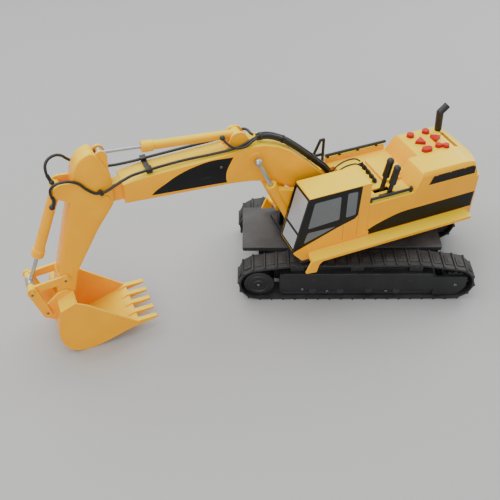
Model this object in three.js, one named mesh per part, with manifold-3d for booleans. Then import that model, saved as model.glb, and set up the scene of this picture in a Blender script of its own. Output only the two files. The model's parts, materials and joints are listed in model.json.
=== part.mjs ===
// Toy excavator: tracked undercarriage, slewing house and a three-section digging arm.
// Millimetres, +Z up. The bucket points to -X and the cab is on the -Y side.
import * as THREE from 'three';
import { mergeVertices } from 'three/addons/utils/BufferGeometryUtils.js';
import Module from 'manifold-3d';

const wasm = await Module();
wasm.setup();

// ---------------------------------------------------------------- driving dimensions
const GAP = 0.3;             // between pieces that touch
const RUN = 0.4;             // radial clearance of anything that turns or slides
const WALL = 2.4;            // moulded wall of the big shells

// The machine is stored with the middle of its footprint at X = Y = 0.
const SLEW_X = 131.5;
const SLEW_Y = 0;
const TRACKS_TURNED = -22.25; // degrees: undercarriage heading against the house

// Undercarriage, in its own axes (x backwards, y to the machine's right)
const TRACK_LENGTH = 320;
const TRACK_HEIGHT = 66;
const TRACK_GAUGE = 123.6;
const SHOE_WIDTH = 31;
const SHOE_COUNT = 44;
const END_RADIUS = 29;
const CROWN_HALF = 84;       // half length of the raised top run
const GROUSER = 1.8;
const BELT_THICKNESS = 2.8;
const FRAME_INSET = 2.6;     // side frame face behind the belt's outer edge
const FRAME_FRONT = -103;
const FRAME_REAR = 148;
const BEAM_REAR = 107;       // the beam stops short of the sprocket
const FRAME_BOTTOM = 6.5;
const FRAME_LEDGE = 46;
const ROLLER_BLOCK = 18;
const ROLLER_BLOCK_X = [-80, 0, 78];
const CHEEK = 3;
const AXLE_RADIUS = 4;
const DECK_WIDTH = 87;
const DECK_FRONT = -153;
const DECK_REAR = 116;
const DECK_THICKNESS = 6;
const CHASSIS_WIDTH = 84;
const CHASSIS_BOTTOM = 14;
const BATTERY_LENGTH = 108;
const BATTERY_WIDTH = 60;
const BATTERY_DEPTH = 22;
const BATTERY_X = -8;

// Slew bearing
const SLEW_RING_RADIUS = 44;
const SLEW_POST_RADIUS = 14;
const SLEW_HEIGHT = 9;

// House
const FLOOR_THICKNESS = 6;
const HOUSE_LEFT = -51;
const HOUSE_RIGHT = 57;
const HOUSE_REAR = 155;
const HOUSE_CORNER = 20;
const REAR_BULGE = 12;        // how far the rear wall's middle stands behind its corners
const HOUSE_SHOULDER = 144.5;
const WALKWAY_TOP = 94;
const WALKWAY_WIDTH = 19;
const WALKWAY_THICKNESS = 4;
const CAB_REAR = -12;
const CAB_WIDTH = 39.6;
const CAB_ROOF = 179;
const CAB_ROOF_FRONT = -97;
const CAB_SILL_FRONT = -117;
const CAB_SILL = 97;
const PANE_THICKNESS = 1;
const HOOD_TOP = 170;
const HOOD_FRONT = 65.5;
const HOOD_STEP = 81;
const HOOD_REAR = 147;
const REAR_LEAN = 0.41;        // how far the hood's rear leans forward for each mm it rises
const HOOD_SLOPE = 11.5;       // how far the hood's front leans back
const BUTTON_RAISE = 4.5;
const BUTTON_RADIUS = 5;
const DUMBBELL_TURN = -0.45;    // how far the two-lobed button is turned, in radians
const BUTTON_STEPS = 4;      // curve steps of a button's outline
const EXHAUST_RADIUS = 4.9;
const COVER_LAP = 4;
const COVER_THICKNESS = 3;
const LIP_FRONT = -22;
const CONDUIT_RADIUS = 4.6;
const HOSE_RADIUS = 1.7;
const EXHAUST_HEIGHT = 28;
const RAIL_RADIUS = 2.1;
const GRAB_RADIUS = 2;
const RAIL_Y = 54.5;         // right-hand rail and grab frame
const LIP_HEIGHT = 7;
const LEVER_GRIP = 22;       // length of a lever's thick grip

// Arm, all in one vertical plane
const ARM_Y = 20;
const BOOM_WIDTH = 33;
const NOSE_WIDTH = 13;
const STICK_WIDTH = 24;
const BOOM_BEVEL = 1.6;
const STICK_BEVEL = 3.2;
const LINK_THICKNESS = 3.4;
const EAR_INSIDE = 5;        // half of the gap between the stick cylinder's ears
const EAR_THICKNESS = 3.2;
const BRACKET_INSIDE = 6.4;  // half of the gap between the boom bracket's ears
const LOBE_INSIDE = 8;
const ROD_EYE_RADIUS = 5;
const OPEN_PIVOT_PLAY = 3.6;  // free room round the stick cylinder's rod eye
const BARREL_EYE_RADIUS = 6.4;
const PIN_RADIUS = 3;
const FOOT_PIN_RADIUS = 4;
const CHEEK_THICKNESS = 2.6; // floor's cheeks beside the boom's foot
const BUCKET_WIDTH = 76;
const BUCKET_WALL = 2.6;
const TEETH = 5;

// Arm pivots, [x, z] from the slew axis on the ground
const BOOM_FOOT = [-38, 116];
const BOOM_NOSE = [-327.5, 207];
const BOOM_BALL = [-144.5, 215];
const BARREL_FOOT = [-93, 101];
const BOOM_BRACKET = [-163.5, 246];
const STICK_EAR = [-323.5, 260.5];
const STICK_LOBE = [-377, 228.5];
const IDLER_PIVOT = [-391.3, 105.5];
const LINK_JOINT = [-432, 101.5];
const HOSE_FITTING = [-385.5, 208.6];
const BUCKET_PIVOT = [-395.7, 80];
const BUCKET_EAR = [-421.5, 60];

// ---------------------------------------------------------------- materials
function plastic(color, roughness) {
  return new THREE.MeshStandardMaterial({ color, roughness, metalness: 0 });
}
function metal(color, roughness) {
  return new THREE.MeshStandardMaterial({ color, roughness, metalness: 1 });
}
const yellow = () => plastic(0xf6a81c, 0.32);
const black = () => plastic(0x1c1d1e, 0.55);
const greyBlack = () => plastic(0x4a4b4d, 0.7);
const rubber = () => plastic(0x202123, 0.6);
const red = () => plastic(0xe0303a, 0.35);
const pane = () => plastic(0xa9adae, 0.3);
const chrome = () => metal(0xd6d8da, 0.2);
const green = () => plastic(0x2c6b45, 0.5);

// ---------------------------------------------------------------- solid helpers
function toSolid(geometry) {
  const bare = geometry.clone();
  bare.deleteAttribute('normal');
  bare.deleteAttribute('uv');
  const merged = mergeVertices(bare, 1e-4);
  const vertProperties = new Float32Array(merged.attributes.position.array);
  const triVerts = new Uint32Array(merged.index.array);
  return new wasm.Manifold(new wasm.Mesh({ numProp: 3, vertProperties, triVerts }));
}

function toMesh(name, solid, material) {
  const data = solid.getMesh();
  const geometry = new THREE.BufferGeometry();
  geometry.setAttribute('position', new THREE.BufferAttribute(new Float32Array(data.vertProperties), 3));
  geometry.setIndex(new THREE.BufferAttribute(new Uint32Array(data.triVerts), 1));
  geometry.computeVertexNormals();
  const mesh = new THREE.Mesh(geometry, material);
  mesh.name = name;
  return mesh;
}

// An outline from [x, y, radius] corners; a radius rounds that corner.
function outline(corners) {
  const shape = new THREE.Shape();
  const count = corners.length;
  corners.forEach(([x, y, radius = 0], i) => {
    const here = new THREE.Vector2(x, y);
    const before = new THREE.Vector2(...corners[(i + count - 1) % count]);
    const after = new THREE.Vector2(...corners[(i + 1) % count]);
    const toBefore = before.clone().sub(here);
    const toAfter = after.clone().sub(here);
    const cut = Math.min(radius, toBefore.length() * 0.49, toAfter.length() * 0.49);
    const start = here.clone().add(toBefore.setLength(cut));
    const end = here.clone().add(toAfter.setLength(cut));
    if (i === 0) {
      shape.moveTo(start.x, start.y);
    } else {
      shape.lineTo(start.x, start.y);
    }
    if (cut > 0) {
      shape.quadraticCurveTo(x, y, end.x, end.y);
    }
  });
  shape.closePath();
  return shape;
}

// A plate in the XY plane from z0 up to z1.
function plate(shape, z0, z1, curveSegments = 3) {
  const geometry = new THREE.ExtrudeGeometry(shape, { depth: z1 - z0, bevelEnabled: false, curveSegments });
  geometry.translate(0, 0, z0);
  return toSolid(geometry);
}

// A slab whose outline is drawn in X and Z, from y0 across to y1.
function slab(shape, y0, y1, curveSegments = 3) {
  const geometry = new THREE.ExtrudeGeometry(shape, { depth: y1 - y0, bevelEnabled: false, curveSegments });
  geometry.rotateX(Math.PI / 2);
  geometry.translate(0, y1, 0);
  return toSolid(geometry);
}

// The same slab with rounded edges on both of its flat sides.
function roundedSlab(shape, y0, y1, bevel, curveSegments = 3) {
  const geometry = new THREE.ExtrudeGeometry(shape, {
    depth: y1 - y0 - 2 * bevel,
    bevelThickness: bevel,
    bevelSize: bevel,
    bevelOffset: -bevel,
    bevelSegments: 2,
    curveSegments,
  });
  geometry.rotateX(Math.PI / 2);
  geometry.translate(0, y1 - bevel, 0);
  return toSolid(geometry);
}

function box(x0, x1, y0, y1, z0, z1) {
  const geometry = new THREE.BoxGeometry(x1 - x0, y1 - y0, z1 - z0);
  geometry.translate((x0 + x1) / 2, (y0 + y1) / 2, (z0 + z1) / 2);
  return toSolid(geometry);
}

// A round bar from one point to another; the second radius makes it taper.
function bar(from, to, radius, endRadius = radius, sides = 14) {
  const a = new THREE.Vector3(...from);
  const b = new THREE.Vector3(...to);
  const length = a.distanceTo(b);
  const geometry = new THREE.CylinderGeometry(endRadius, radius, length, sides);
  const turn = new THREE.Quaternion().setFromUnitVectors(
    new THREE.Vector3(0, 1, 0),
    b.clone().sub(a).normalize(),
  );
  geometry.applyQuaternion(turn);
  const middle = a.clone().add(b).multiplyScalar(0.5);
  geometry.translate(middle.x, middle.y, middle.z);
  return toSolid(geometry);
}

// A round pin across the arm at an [x, z] point.
function crossPin([x, z], y0, y1, radius, sides = 12) {
  return bar([x, y0, z], [x, y1, z], radius, radius, sides);
}

function ball(centre, radius) {
  const geometry = new THREE.SphereGeometry(radius, 12, 7);
  geometry.translate(...centre);
  return toSolid(geometry);
}

// A round section pulled along a smooth line through the points.
function tube(points, radius, steps, sides = 8) {
  const path = new THREE.CatmullRomCurve3(points.map((p) => new THREE.Vector3(...p)), false, 'centripetal');
  const section = new THREE.Shape();
  for (let i = 0; i < sides; i += 1) {
    const angle = (2 * Math.PI * i) / sides;
    if (i === 0) {
      section.moveTo(radius, 0);
    } else {
      section.lineTo(radius * Math.cos(angle), radius * Math.sin(angle));
    }
  }
  section.closePath();
  return toSolid(new THREE.ExtrudeGeometry(section, { steps, bevelEnabled: false, extrudePath: path }));
}

function join(solids) {
  return solids.reduce((sum, solid) => sum.add(solid));
}

function cut(body, tools) {
  return tools.reduce((rest, tool) => rest.subtract(tool), body);
}

// A bar shape with round ends around two [x, z] points.
function linkOutline([ax, az], [bx, bz], radiusA, radiusB) {
  const heading = Math.atan2(bz - az, bx - ax);
  const spread = Math.acos((radiusA - radiusB) / Math.hypot(bx - ax, bz - az));
  const shape = new THREE.Shape();
  shape.absarc(bx, bz, radiusB, heading - spread, heading + spread, false);
  shape.absarc(ax, az, radiusA, heading + spread, heading - spread + 2 * Math.PI, false);
  shape.closePath();
  return shape;
}

// Point at a distance from a towards b, both [x, z].
function along([ax, az], [bx, bz], distance) {
  const length = Math.hypot(bx - ax, bz - az);
  return [ax + ((bx - ax) * distance) / length, az + ((bz - az) * distance) / length];
}

// ---------------------------------------------------------------- undercarriage
const trackHalf = TRACK_LENGTH / 2 - END_RADIUS;
const beltInset = GROUSER + BELT_THICKNESS;

// The belt's loop, a given distance inside its outermost surface.
function beltLoop(inset) {
  const radius = END_RADIUS - inset;
  const rise = TRACK_HEIGHT - 2 * END_RADIUS;
  const slope = Math.atan2(rise, trackHalf - CROWN_HALF);
  const loop = new THREE.Path();
  loop.moveTo(-trackHalf, inset);
  loop.lineTo(trackHalf, inset);
  loop.absarc(trackHalf, END_RADIUS, radius, -Math.PI / 2, Math.PI / 2 - slope, false);
  loop.lineTo(CROWN_HALF, TRACK_HEIGHT - inset);
  loop.lineTo(-CROWN_HALF, TRACK_HEIGHT - inset);
  loop.absarc(-trackHalf, END_RADIUS, radius, Math.PI / 2 + slope, 1.5 * Math.PI, false);
  return loop;
}

function trackBelt(name, y) {
  const loop = beltLoop(GROUSER);
  const length = loop.getLength();
  const pitch = length / SHOE_COUNT;
  const shape = new THREE.Shape();
  const steps = [[0, 0], [0.7, GROUSER], [2.6, GROUSER], [3.3, 0]];
  for (let i = 0; i < SHOE_COUNT; i += 1) {
    for (const [offset, height] of steps) {
      const u = (i * pitch + offset) / length;
      const point = loop.getPointAt(u);
      const tangent = loop.getTangentAt(u);
      const x = point.x + tangent.y * height;
      const z = point.y - tangent.x * height;
      if (i === 0 && offset === 0) {
        shape.moveTo(x, z);
      } else {
        shape.lineTo(x, z);
      }
    }
  }
  shape.closePath();
  const inside = slab(new THREE.Shape(beltLoop(beltInset).getPoints(7)), y - SHOE_WIDTH, y + SHOE_WIDTH);
  const belt = slab(shape, y - SHOE_WIDTH / 2, y + SHOE_WIDTH / 2).subtract(inside);
  return toMesh(name, belt, rubber());
}

// Y places of one side's parts. side is -1 on the left, +1 on the right.
function sideLayout(side) {
  const middle = (side * TRACK_GAUGE) / 2;
  const face = middle + side * (SHOE_WIDTH / 2 - FRAME_INSET);
  const inner = middle - side * (SHOE_WIDTH / 2 - 1);
  return { middle, face, inner };
}

function between(a, b) {
  return [Math.min(a, b), Math.max(a, b)];
}

function sideFrame(name, side) {
  const { face, inner } = sideLayout(side);
  const top = TRACK_HEIGHT - beltInset - 1.4;
  const beam = slab(outline([
    [FRAME_FRONT, FRAME_BOTTOM + 8, 2],
    [FRAME_FRONT + 10, FRAME_BOTTOM, 3],
    [BEAM_REAR, FRAME_BOTTOM, 3],
    [BEAM_REAR, FRAME_LEDGE - 6, 2],
    [BEAM_REAR - 5, FRAME_LEDGE - 6],
    [BEAM_REAR - 5, FRAME_LEDGE],
    [FRAME_FRONT, FRAME_LEDGE, 2],
  ]), ...between(face, inner));
  const shelf = slab(outline([
    [-CROWN_HALF, FRAME_LEDGE - 1],
    [CROWN_HALF, FRAME_LEDGE - 1],
    [CROWN_HALF, top, 2],
    [-CROWN_HALF, top, 2],
  ]), ...between(face - side * 7, inner));
  const blocks = ROLLER_BLOCK_X.map((x) => {
    const [y0, y1] = between(face - side * 3, inner);
    return box(x - ROLLER_BLOCK / 2, x + ROLLER_BLOCK / 2, y0, y1, FRAME_LEDGE - 1, top);
  });
  const cheek = slab(outline([
    [-trackHalf - 12, END_RADIUS - 14, 5],
    [trackHalf + 12, END_RADIUS - 14, 5],
    [trackHalf + 12, END_RADIUS + 12, 5],
    [-trackHalf - 12, END_RADIUS + 12, 5],
  ]), ...between(inner, inner + side * CHEEK));
  const rearPlate = slab(outline([
    [BEAM_REAR - 6, FRAME_BOTTOM, 2],
    [FRAME_REAR - 10, FRAME_BOTTOM, 8],
    [FRAME_REAR, END_RADIUS - 8, 4],
    [FRAME_REAR, FRAME_LEDGE - 6, 2],
    [BEAM_REAR - 6, FRAME_LEDGE - 6, 2],
  ]), ...between(face, face - side * CHEEK));
  const axles = [-trackHalf, trackHalf].map((x) => {
    const reach = x < 0 ? face - side * 1 : face - side * (CHEEK + GAP);
    return crossPin([x, END_RADIUS - 3], ...between(inner, reach), AXLE_RADIUS);
  });
  const recess = slab(outline([
    [FRAME_FRONT + 3, FRAME_BOTTOM + 11],
    [BEAM_REAR - 2, FRAME_BOTTOM + 11],
    [BEAM_REAR - 2, FRAME_BOTTOM - 1],
    [FRAME_FRONT + 3, FRAME_BOTTOM - 1],
  ]), ...between(face + side, face - side * 2));
  const frame = cut(join([beam, shelf, ...blocks, cheek, rearPlate, ...axles]), [recess]);
  return toMesh(name, frame, black());
}

// Wheel radius that keeps running clearance to the inside of the belt.
const wheelRadius = END_RADIUS - beltInset - 3.6;

function idlerWheel(name, side) {
  const { face, inner } = sideLayout(side);
  const width = Math.abs(face - inner) - CHEEK - RUN;
  const profile = [
    [AXLE_RADIUS + RUN, 0], [wheelRadius, 0], [wheelRadius, width - 2], [wheelRadius - 2, width - 1],
    [16, width - 1], [15, width], [12, width], [11, width - 1], [8, width - 1], [7, width],
    [AXLE_RADIUS + RUN, width], [AXLE_RADIUS + RUN, 0],
  ].map(([r, y]) => new THREE.Vector2(r, y));
  const geometry = new THREE.LatheGeometry(profile, 20);
  if (side < 0) {
    geometry.rotateX(Math.PI);
  }
  geometry.translate(-trackHalf, inner + side * (CHEEK + RUN), END_RADIUS - 3);
  return toMesh(name, toSolid(geometry), black());
}

function sprocketWheel(name, side) {
  const { face, inner } = sideLayout(side);
  const shape = new THREE.Shape();
  const teeth = 14;
  const root = wheelRadius - 3;
  const toothSteps = [[0, root], [0.25, wheelRadius], [0.5, wheelRadius], [0.75, root]];
  for (let i = 0; i < teeth; i += 1) {
    for (const [step, radius] of toothSteps) {
      const angle = (2 * Math.PI * (i + step)) / teeth;
      const x = trackHalf + radius * Math.cos(angle);
      const z = END_RADIUS - 3 + radius * Math.sin(angle);
      if (i === 0 && step === 0) {
        shape.moveTo(x, z);
      } else {
        shape.lineTo(x, z);
      }
    }
  }
  shape.closePath();
  const hole = new THREE.Path();
  hole.absarc(trackHalf, END_RADIUS - 3, AXLE_RADIUS + RUN, 0, 2 * Math.PI, true);
  shape.holes.push(hole);
  const [y0, y1] = between(inner + side * (CHEEK + RUN), face - side * (CHEEK + RUN));
  return toMesh(name, slab(shape, y0, y1, 6), black());
}

function chassis() {
  const half = CHASSIS_WIDTH / 2;
  const top = TRACK_HEIGHT - DECK_THICKNESS - GAP;
  const body = slab(outline([
    [DECK_FRONT + 22, CHASSIS_BOTTOM + 14, 8],
    [DECK_FRONT + 44, CHASSIS_BOTTOM, 4],
    [DECK_REAR - 24, CHASSIS_BOTTOM, 4],
    [DECK_REAR - 4, CHASSIS_BOTTOM + 14, 8],
    [DECK_REAR - 4, top],
    [DECK_FRONT + 22, top],
  ]), -half, half);
  const pocketTop = CHASSIS_BOTTOM + COVER_THICKNESS + BATTERY_DEPTH + GAP;
  const pocket = batteryBlock(GAP, CHASSIS_BOTTOM - 1, pocketTop);
  const coverSeat = batteryBlock(COVER_LAP, CHASSIS_BOTTOM - 1, CHASSIS_BOTTOM + COVER_THICKNESS);
  return toMesh('chassis', cut(body, [pocket, coverSeat]), black());
}


// A block with the battery box's plan, grown on every side.
function batteryBlock(grow, z0, z1) {
  const halfLength = BATTERY_LENGTH / 2 + grow;
  const halfWidth = BATTERY_WIDTH / 2 + grow;
  return box(BATTERY_X - halfLength, BATTERY_X + halfLength, -halfWidth, halfWidth, z0, z1);
}

function batteryCover() {
  const cover = batteryBlock(COVER_LAP - GAP, CHASSIS_BOTTOM, CHASSIS_BOTTOM + COVER_THICKNESS - GAP);
  const grips = [30, 36, 42].map((x) => box(x, x + 2, -12, 12, CHASSIS_BOTTOM - 0.8, CHASSIS_BOTTOM + 1));
  return toMesh('battery_cover', join([cover, ...grips]), black());
}

function batteryBox() {
  const z = CHASSIS_BOTTOM + COVER_THICKNESS;
  const block = batteryBlock(0, z, z + BATTERY_DEPTH);
  const reach = BATTERY_LENGTH / 2 - 2;
  const bays = [-22, -7.4, 7.4, 22].map((y) => {
    return bar([BATTERY_X - reach, y, z], [BATTERY_X + reach, y, z], 6.6);
  });
  return toMesh('battery_box', cut(block, bays), black());
}

function deckCover() {
  const half = DECK_WIDTH / 2;
  const shape = outline([
    [DECK_FRONT, -half, 3],
    [DECK_REAR, -half, 3],
    [DECK_REAR, half, 3],
    [DECK_FRONT, half, 3],
  ]);
  const lid = plate(shape, TRACK_HEIGHT - DECK_THICKNESS, TRACK_HEIGHT);
  return toMesh('deck_cover', lid, greyBlack());
}

function slewRing() {
  const z = TRACK_HEIGHT + GAP;
  const ring = bar([0, 0, z], [0, 0, z + SLEW_HEIGHT - RUN], SLEW_RING_RADIUS, SLEW_RING_RADIUS, 32);
  const bore = bar([0, 0, z - 1], [0, 0, z + SLEW_HEIGHT + 1], SLEW_POST_RADIUS + RUN);
  return toMesh('slew_ring', ring.subtract(bore), black());
}

function undercarriage() {
  const group = new THREE.Group();
  group.rotation.z = THREE.MathUtils.degToRad(TRACKS_TURNED);
  const sides = [['left', -1], ['right', 1]];
  for (const [word, side] of sides) {
    group.add(trackBelt(`track_belt_${word}`, (side * TRACK_GAUGE) / 2));
    group.add(sideFrame(`side_frame_${word}`, side));
    group.add(idlerWheel(`idler_wheel_${word}`, side));
    group.add(sprocketWheel(`sprocket_wheel_${word}`, side));
  }
  group.add(chassis(), batteryBox(), batteryCover(), deckCover(), slewRing());
  return group;
}

// ---------------------------------------------------------------- house
const floorBottom = TRACK_HEIGHT + GAP + SLEW_HEIGHT;
const shellBottom = floorBottom + FLOOR_THICKNESS + GAP;
const cabRight = HOUSE_LEFT + CAB_WIDTH;
const wellFront = -72;
const wellRear = -14;
const wellLeft = ARM_Y - BOOM_WIDTH / 2 - 5;
const wellRight = ARM_Y + BOOM_WIDTH / 2 + 5;

// The bowed rear wall in plan, from its left corner to its right one.
function rearCurve(rear, left, right) {
  const steps = 8;
  const points = [];
  for (let i = 0; i <= steps; i += 1) {
    const share = (2 * i) / steps - 1;
    const y = left + ((right - left) * i) / steps;
    const corner = i === 0 || i === steps ? 4 : 0;
    points.push([rear + REAR_BULGE * (1 - share * share), y, corner]);
  }
  return points;
}

// Plan of the house: a block with the boom's well open to the front.
function housePlan(inset) {
  return outline([
    [CAB_REAR + GAP + inset, HOUSE_LEFT + inset],
    ...rearCurve(HOUSE_REAR - inset, HOUSE_LEFT + inset, HOUSE_RIGHT - inset),
    [wellFront + inset, HOUSE_RIGHT - inset, 6],
    [wellFront + inset, wellRight + inset],
    [wellRear + inset, wellRight + inset],
    [wellRear + inset, wellLeft - inset],
    [CAB_REAR + GAP + inset, wellLeft - inset],
  ]);
}

function houseFloor() {
  const left = HOUSE_LEFT + 2;
  const right = HOUSE_RIGHT - 2;
  const shape = outline([
    [CAB_SILL_FRONT + 12, left, 4],
    [HOUSE_REAR - 4, left, HOUSE_CORNER],
    [HOUSE_REAR - 4, right, HOUSE_CORNER],
    [wellFront - 30, right, 4],
    [wellFront - 30, left + CAB_WIDTH, 2],
    [CAB_SILL_FRONT + 12, left + CAB_WIDTH, 2],
  ]);
  const floor = plate(shape, floorBottom, floorBottom + FLOOR_THICKNESS);
  const post = bar([0, 0, TRACK_HEIGHT + 2], [0, 0, floorBottom + 1], SLEW_POST_RADIUS);
  const foot = boomFootCheeks();
  return toMesh('house_floor', join([floor, post, ...foot]), black());
}

// Two cheeks that carry the boom's foot pin, and two lugs for the boom cylinders.
function boomFootCheeks() {
  const base = floorBottom + FLOOR_THICKNESS - 1;
  const [px, pz] = BOOM_FOOT;
  const cheekShape = outline([
    [px - 24, base], [px + 22, base], [px + 10, pz + 10, 8], [px - 10, pz + 10, 8],
  ]);
  const half = BOOM_WIDTH / 2 + RUN;
  const cheeks = [-1, 1].map((side) => slab(cheekShape, ...between(
    ARM_Y + side * half,
    ARM_Y + side * (half + CHEEK_THICKNESS),
  )));
  const [lx, lz] = BARREL_FOOT;
  const lugShape = outline([
    [lx - 8, base], [lx + 26, base], [lx + 8, lz + 7, 6], [lx - 7, lz + 7, 6],
  ]);
  const lugs = [-1, 1].map((side) => slab(lugShape, ...between(
    ARM_Y + side * 6,
    ARM_Y + side * 12,
  )));
  const spigots = [-1, 1].map((side) => crossPin(BARREL_FOOT, ...between(
    ARM_Y + side * 11,
    ARM_Y + side * (cylinderOffset + 3),
  ), PIN_RADIUS));
  const pinHole = crossPin(BOOM_FOOT, ARM_Y - 2 * half, ARM_Y + 2 * half, FOOT_PIN_RADIUS + RUN);
  return [...cheeks.map((cheek) => cheek.subtract(pinHole)), ...lugs, ...spigots];
}

function houseShell() {
  const outside = plate(housePlan(0), shellBottom, HOUSE_SHOULDER);
  const inside = plate(housePlan(WALL), shellBottom - 1, HOUSE_SHOULDER - WALL);
  const hoodBay = box(HOOD_FRONT + 8, HOUSE_REAR - 22, HOUSE_LEFT + 14, HOUSE_RIGHT - 14,
    HOUSE_SHOULDER - WALL - 1,
    HOUSE_SHOULDER + 1);
  const leverSlots = leverPlaces.map(([x, y]) => box(x - 13, x + 10, y - 4, y + 4, HOUSE_SHOULDER - WALL - 1,
    HOUSE_SHOULDER + 1));
  const raised = plate(outline([
    [28, -18, 2], [HOOD_FRONT - HOOD_SLOPE - 1, -18], [HOOD_FRONT - HOOD_SLOPE - 1, 34], [28, 34, 2],
  ]), HOUSE_SHOULDER - 1, HOUSE_SHOULDER + 4);
  const lip = box(LIP_FRONT, HOOD_STEP - HOOD_SLOPE - 1, HOUSE_RIGHT - 5, HOUSE_RIGHT, HOUSE_SHOULDER - 1,
    HOUSE_SHOULDER + LIP_HEIGHT);
  const shell = join([outside, raised, lip]).subtract(inside);
  return toMesh('house_shell', cut(shell, [hoodBay, ...leverSlots]), yellow());
}

function walkway(name, side) {
  const wall = side < 0 ? HOUSE_LEFT : HOUSE_RIGHT;
  const inner = wall + side * GAP;
  const outer = wall + side * (GAP + WALKWAY_WIDTH);
  const front = CAB_ROOF_FRONT + 2;
  const rear = HOUSE_REAR - 14;
  const shape = outline([
    [front, inner],
    [rear, inner],
    [rear, outer, 3],
    [front - 3, outer, 3],
    [front - 3, wall + side * 8, 3],
  ]);
  const ledge = plate(shape, WALKWAY_TOP - WALKWAY_THICKNESS, WALKWAY_TOP);
  const step = slab(outline([
    [front - 11, WALKWAY_TOP - 18, 1],
    [front + 4, WALKWAY_TOP - 20, 1],
    [front + 7, WALKWAY_TOP - 8, 3],
    [front + 12, WALKWAY_TOP - WALKWAY_THICKNESS],
    [front + 12, WALKWAY_TOP],
    [front - 3, WALKWAY_TOP, 2],
  ]), ...between(outer, outer - side * 3));
  return toMesh(name, join([ledge, step]), yellow());
}

// Side view of the cab; the inset version hollows it from below.
function cabProfile(inset) {
  return outline([
    [CAB_SILL_FRONT + inset + 1, CAB_SILL, 2],
    [CAB_ROOF_FRONT + inset, CAB_ROOF - inset, 3],
    [CAB_REAR - inset, CAB_ROOF - inset, 3],
    [CAB_REAR - inset, shellBottom - 2 * inset / WALL],
    [CAB_ROOF_FRONT - 6 + inset, shellBottom - 2 * inset / WALL],
  ]);
}

// Rake of the windscreen, degrees from vertical.
const screenRake = Math.atan2(CAB_ROOF_FRONT - CAB_SILL_FRONT, CAB_ROOF - CAB_SILL);

function cabShell() {
  const outside = slab(cabProfile(0), HOUSE_LEFT, cabRight);
  const inside = slab(cabProfile(WALL), HOUSE_LEFT + WALL, cabRight - WALL);
  const seats = [
    sideWindowSolid(HOUSE_LEFT - 1, HOUSE_LEFT + PANE_THICKNESS + GAP, GAP),
    sideWindowSolid(cabRight - PANE_THICKNESS - GAP, cabRight + 1, GAP),
    windscreenSolid(-1, PANE_THICKNESS + GAP, GAP),
  ];
  return toMesh('cab_shell', cut(outside.subtract(inside), seats), yellow());
}

// Side window film: one outline that covers all three panes and their black frame.
function sideWindowSolid(y0, y1, grow) {
  const top = CAB_ROOF - 4 + grow;
  const shape = outline([
    [CAB_ROOF_FRONT - 1 - grow, top, 1],
    [CAB_ROOF_FRONT + 70 + grow, top, 1],
    [CAB_ROOF_FRONT + 68 + grow, CAB_ROOF - 46 - grow, 3],
    [CAB_ROOF_FRONT + 62 + grow, CAB_ROOF - 51 - grow, 3],
    [CAB_ROOF_FRONT + 41, CAB_ROOF - 57 - grow],
    [CAB_SILL_FRONT + 6 - grow, CAB_SILL + 6 - grow, 1],
    [CAB_SILL_FRONT + 4 - grow, CAB_SILL + 8, 1],
  ]);
  return slab(shape, y0, y1);
}

function windscreenSolid(d0, d1, grow) {
  const y0 = HOUSE_LEFT + 1.6 - grow;
  const y1 = cabRight - 1.6 + grow;
  const height = Math.hypot(CAB_ROOF_FRONT - CAB_SILL_FRONT, CAB_ROOF - CAB_SILL);
  const geometry = new THREE.BoxGeometry(d1 - d0, y1 - y0, height - 7 + 2 * grow);
  geometry.translate((d0 + d1) / 2, (y0 + y1) / 2, height / 2 - 0.6);
  geometry.rotateY(screenRake);
  geometry.translate(CAB_SILL_FRONT + 1, 0, CAB_SILL);
  return toSolid(geometry);
}

const hoodRight = HOUSE_RIGHT - 7;

// Side view of the hood, from its leaning front to the fall of its rear.
function hoodProfile(front, inset) {
  return outline([
    [front - HOOD_SLOPE + inset, HOUSE_SHOULDER + GAP - inset],
    [front + inset, HOOD_TOP - inset, 3],
    [HOOD_REAR - 12 - inset, HOOD_TOP - inset, 6],
    [HOOD_REAR + 8 - inset, HOOD_TOP - 5 - inset, 4],
    [HOUSE_REAR + REAR_BULGE - inset, HOUSE_SHOULDER + GAP - inset],
  ]);
}

// Cross-section of the hood, wide at its foot and narrower at its top.
function hoodSection(inset) {
  const left = HOUSE_LEFT + inset;
  const right = hoodRight - inset;
  const shape = outline([
    [left, HOUSE_SHOULDER + GAP - inset],
    [right, HOUSE_SHOULDER + GAP - inset],
    [right - 2, HOOD_TOP - 6 - inset, 4],
    [right - 9, HOOD_TOP + 1 - inset, 2],
    [left + 5, HOOD_TOP + 1 - inset, 2],
    [left + 0.5, HOOD_TOP - 6 - inset],
  ]);
  const geometry = new THREE.ExtrudeGeometry(shape, { depth: 200, bevelEnabled: false, curveSegments: 2 });
  geometry.rotateX(Math.PI / 2);
  geometry.rotateZ(Math.PI / 2);
  return toSolid(geometry);
}

// The hood's plan, bowed at the rear, drawn in as it rises.
function hoodEnvelope(inset) {
  const bottom = HOUSE_SHOULDER + GAP - 3;
  const shape = outline([
    [HOOD_FRONT - 40, HOUSE_LEFT + inset],
    ...rearCurve(HOUSE_REAR - 1.5 - inset, HOUSE_LEFT + inset, hoodRight - inset),
    [HOOD_FRONT - 40, hoodRight - inset],
  ]);
  const depth = HOOD_TOP + 3 - bottom;
  const geometry = new THREE.ExtrudeGeometry(shape, { depth, bevelEnabled: false, curveSegments: 3 });
  geometry.applyMatrix4(new THREE.Matrix4().makeShear(0, 0, 0, 0, -REAR_LEAN, 0));
  geometry.translate(0, 0, bottom);
  return toSolid(geometry);
}

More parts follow.
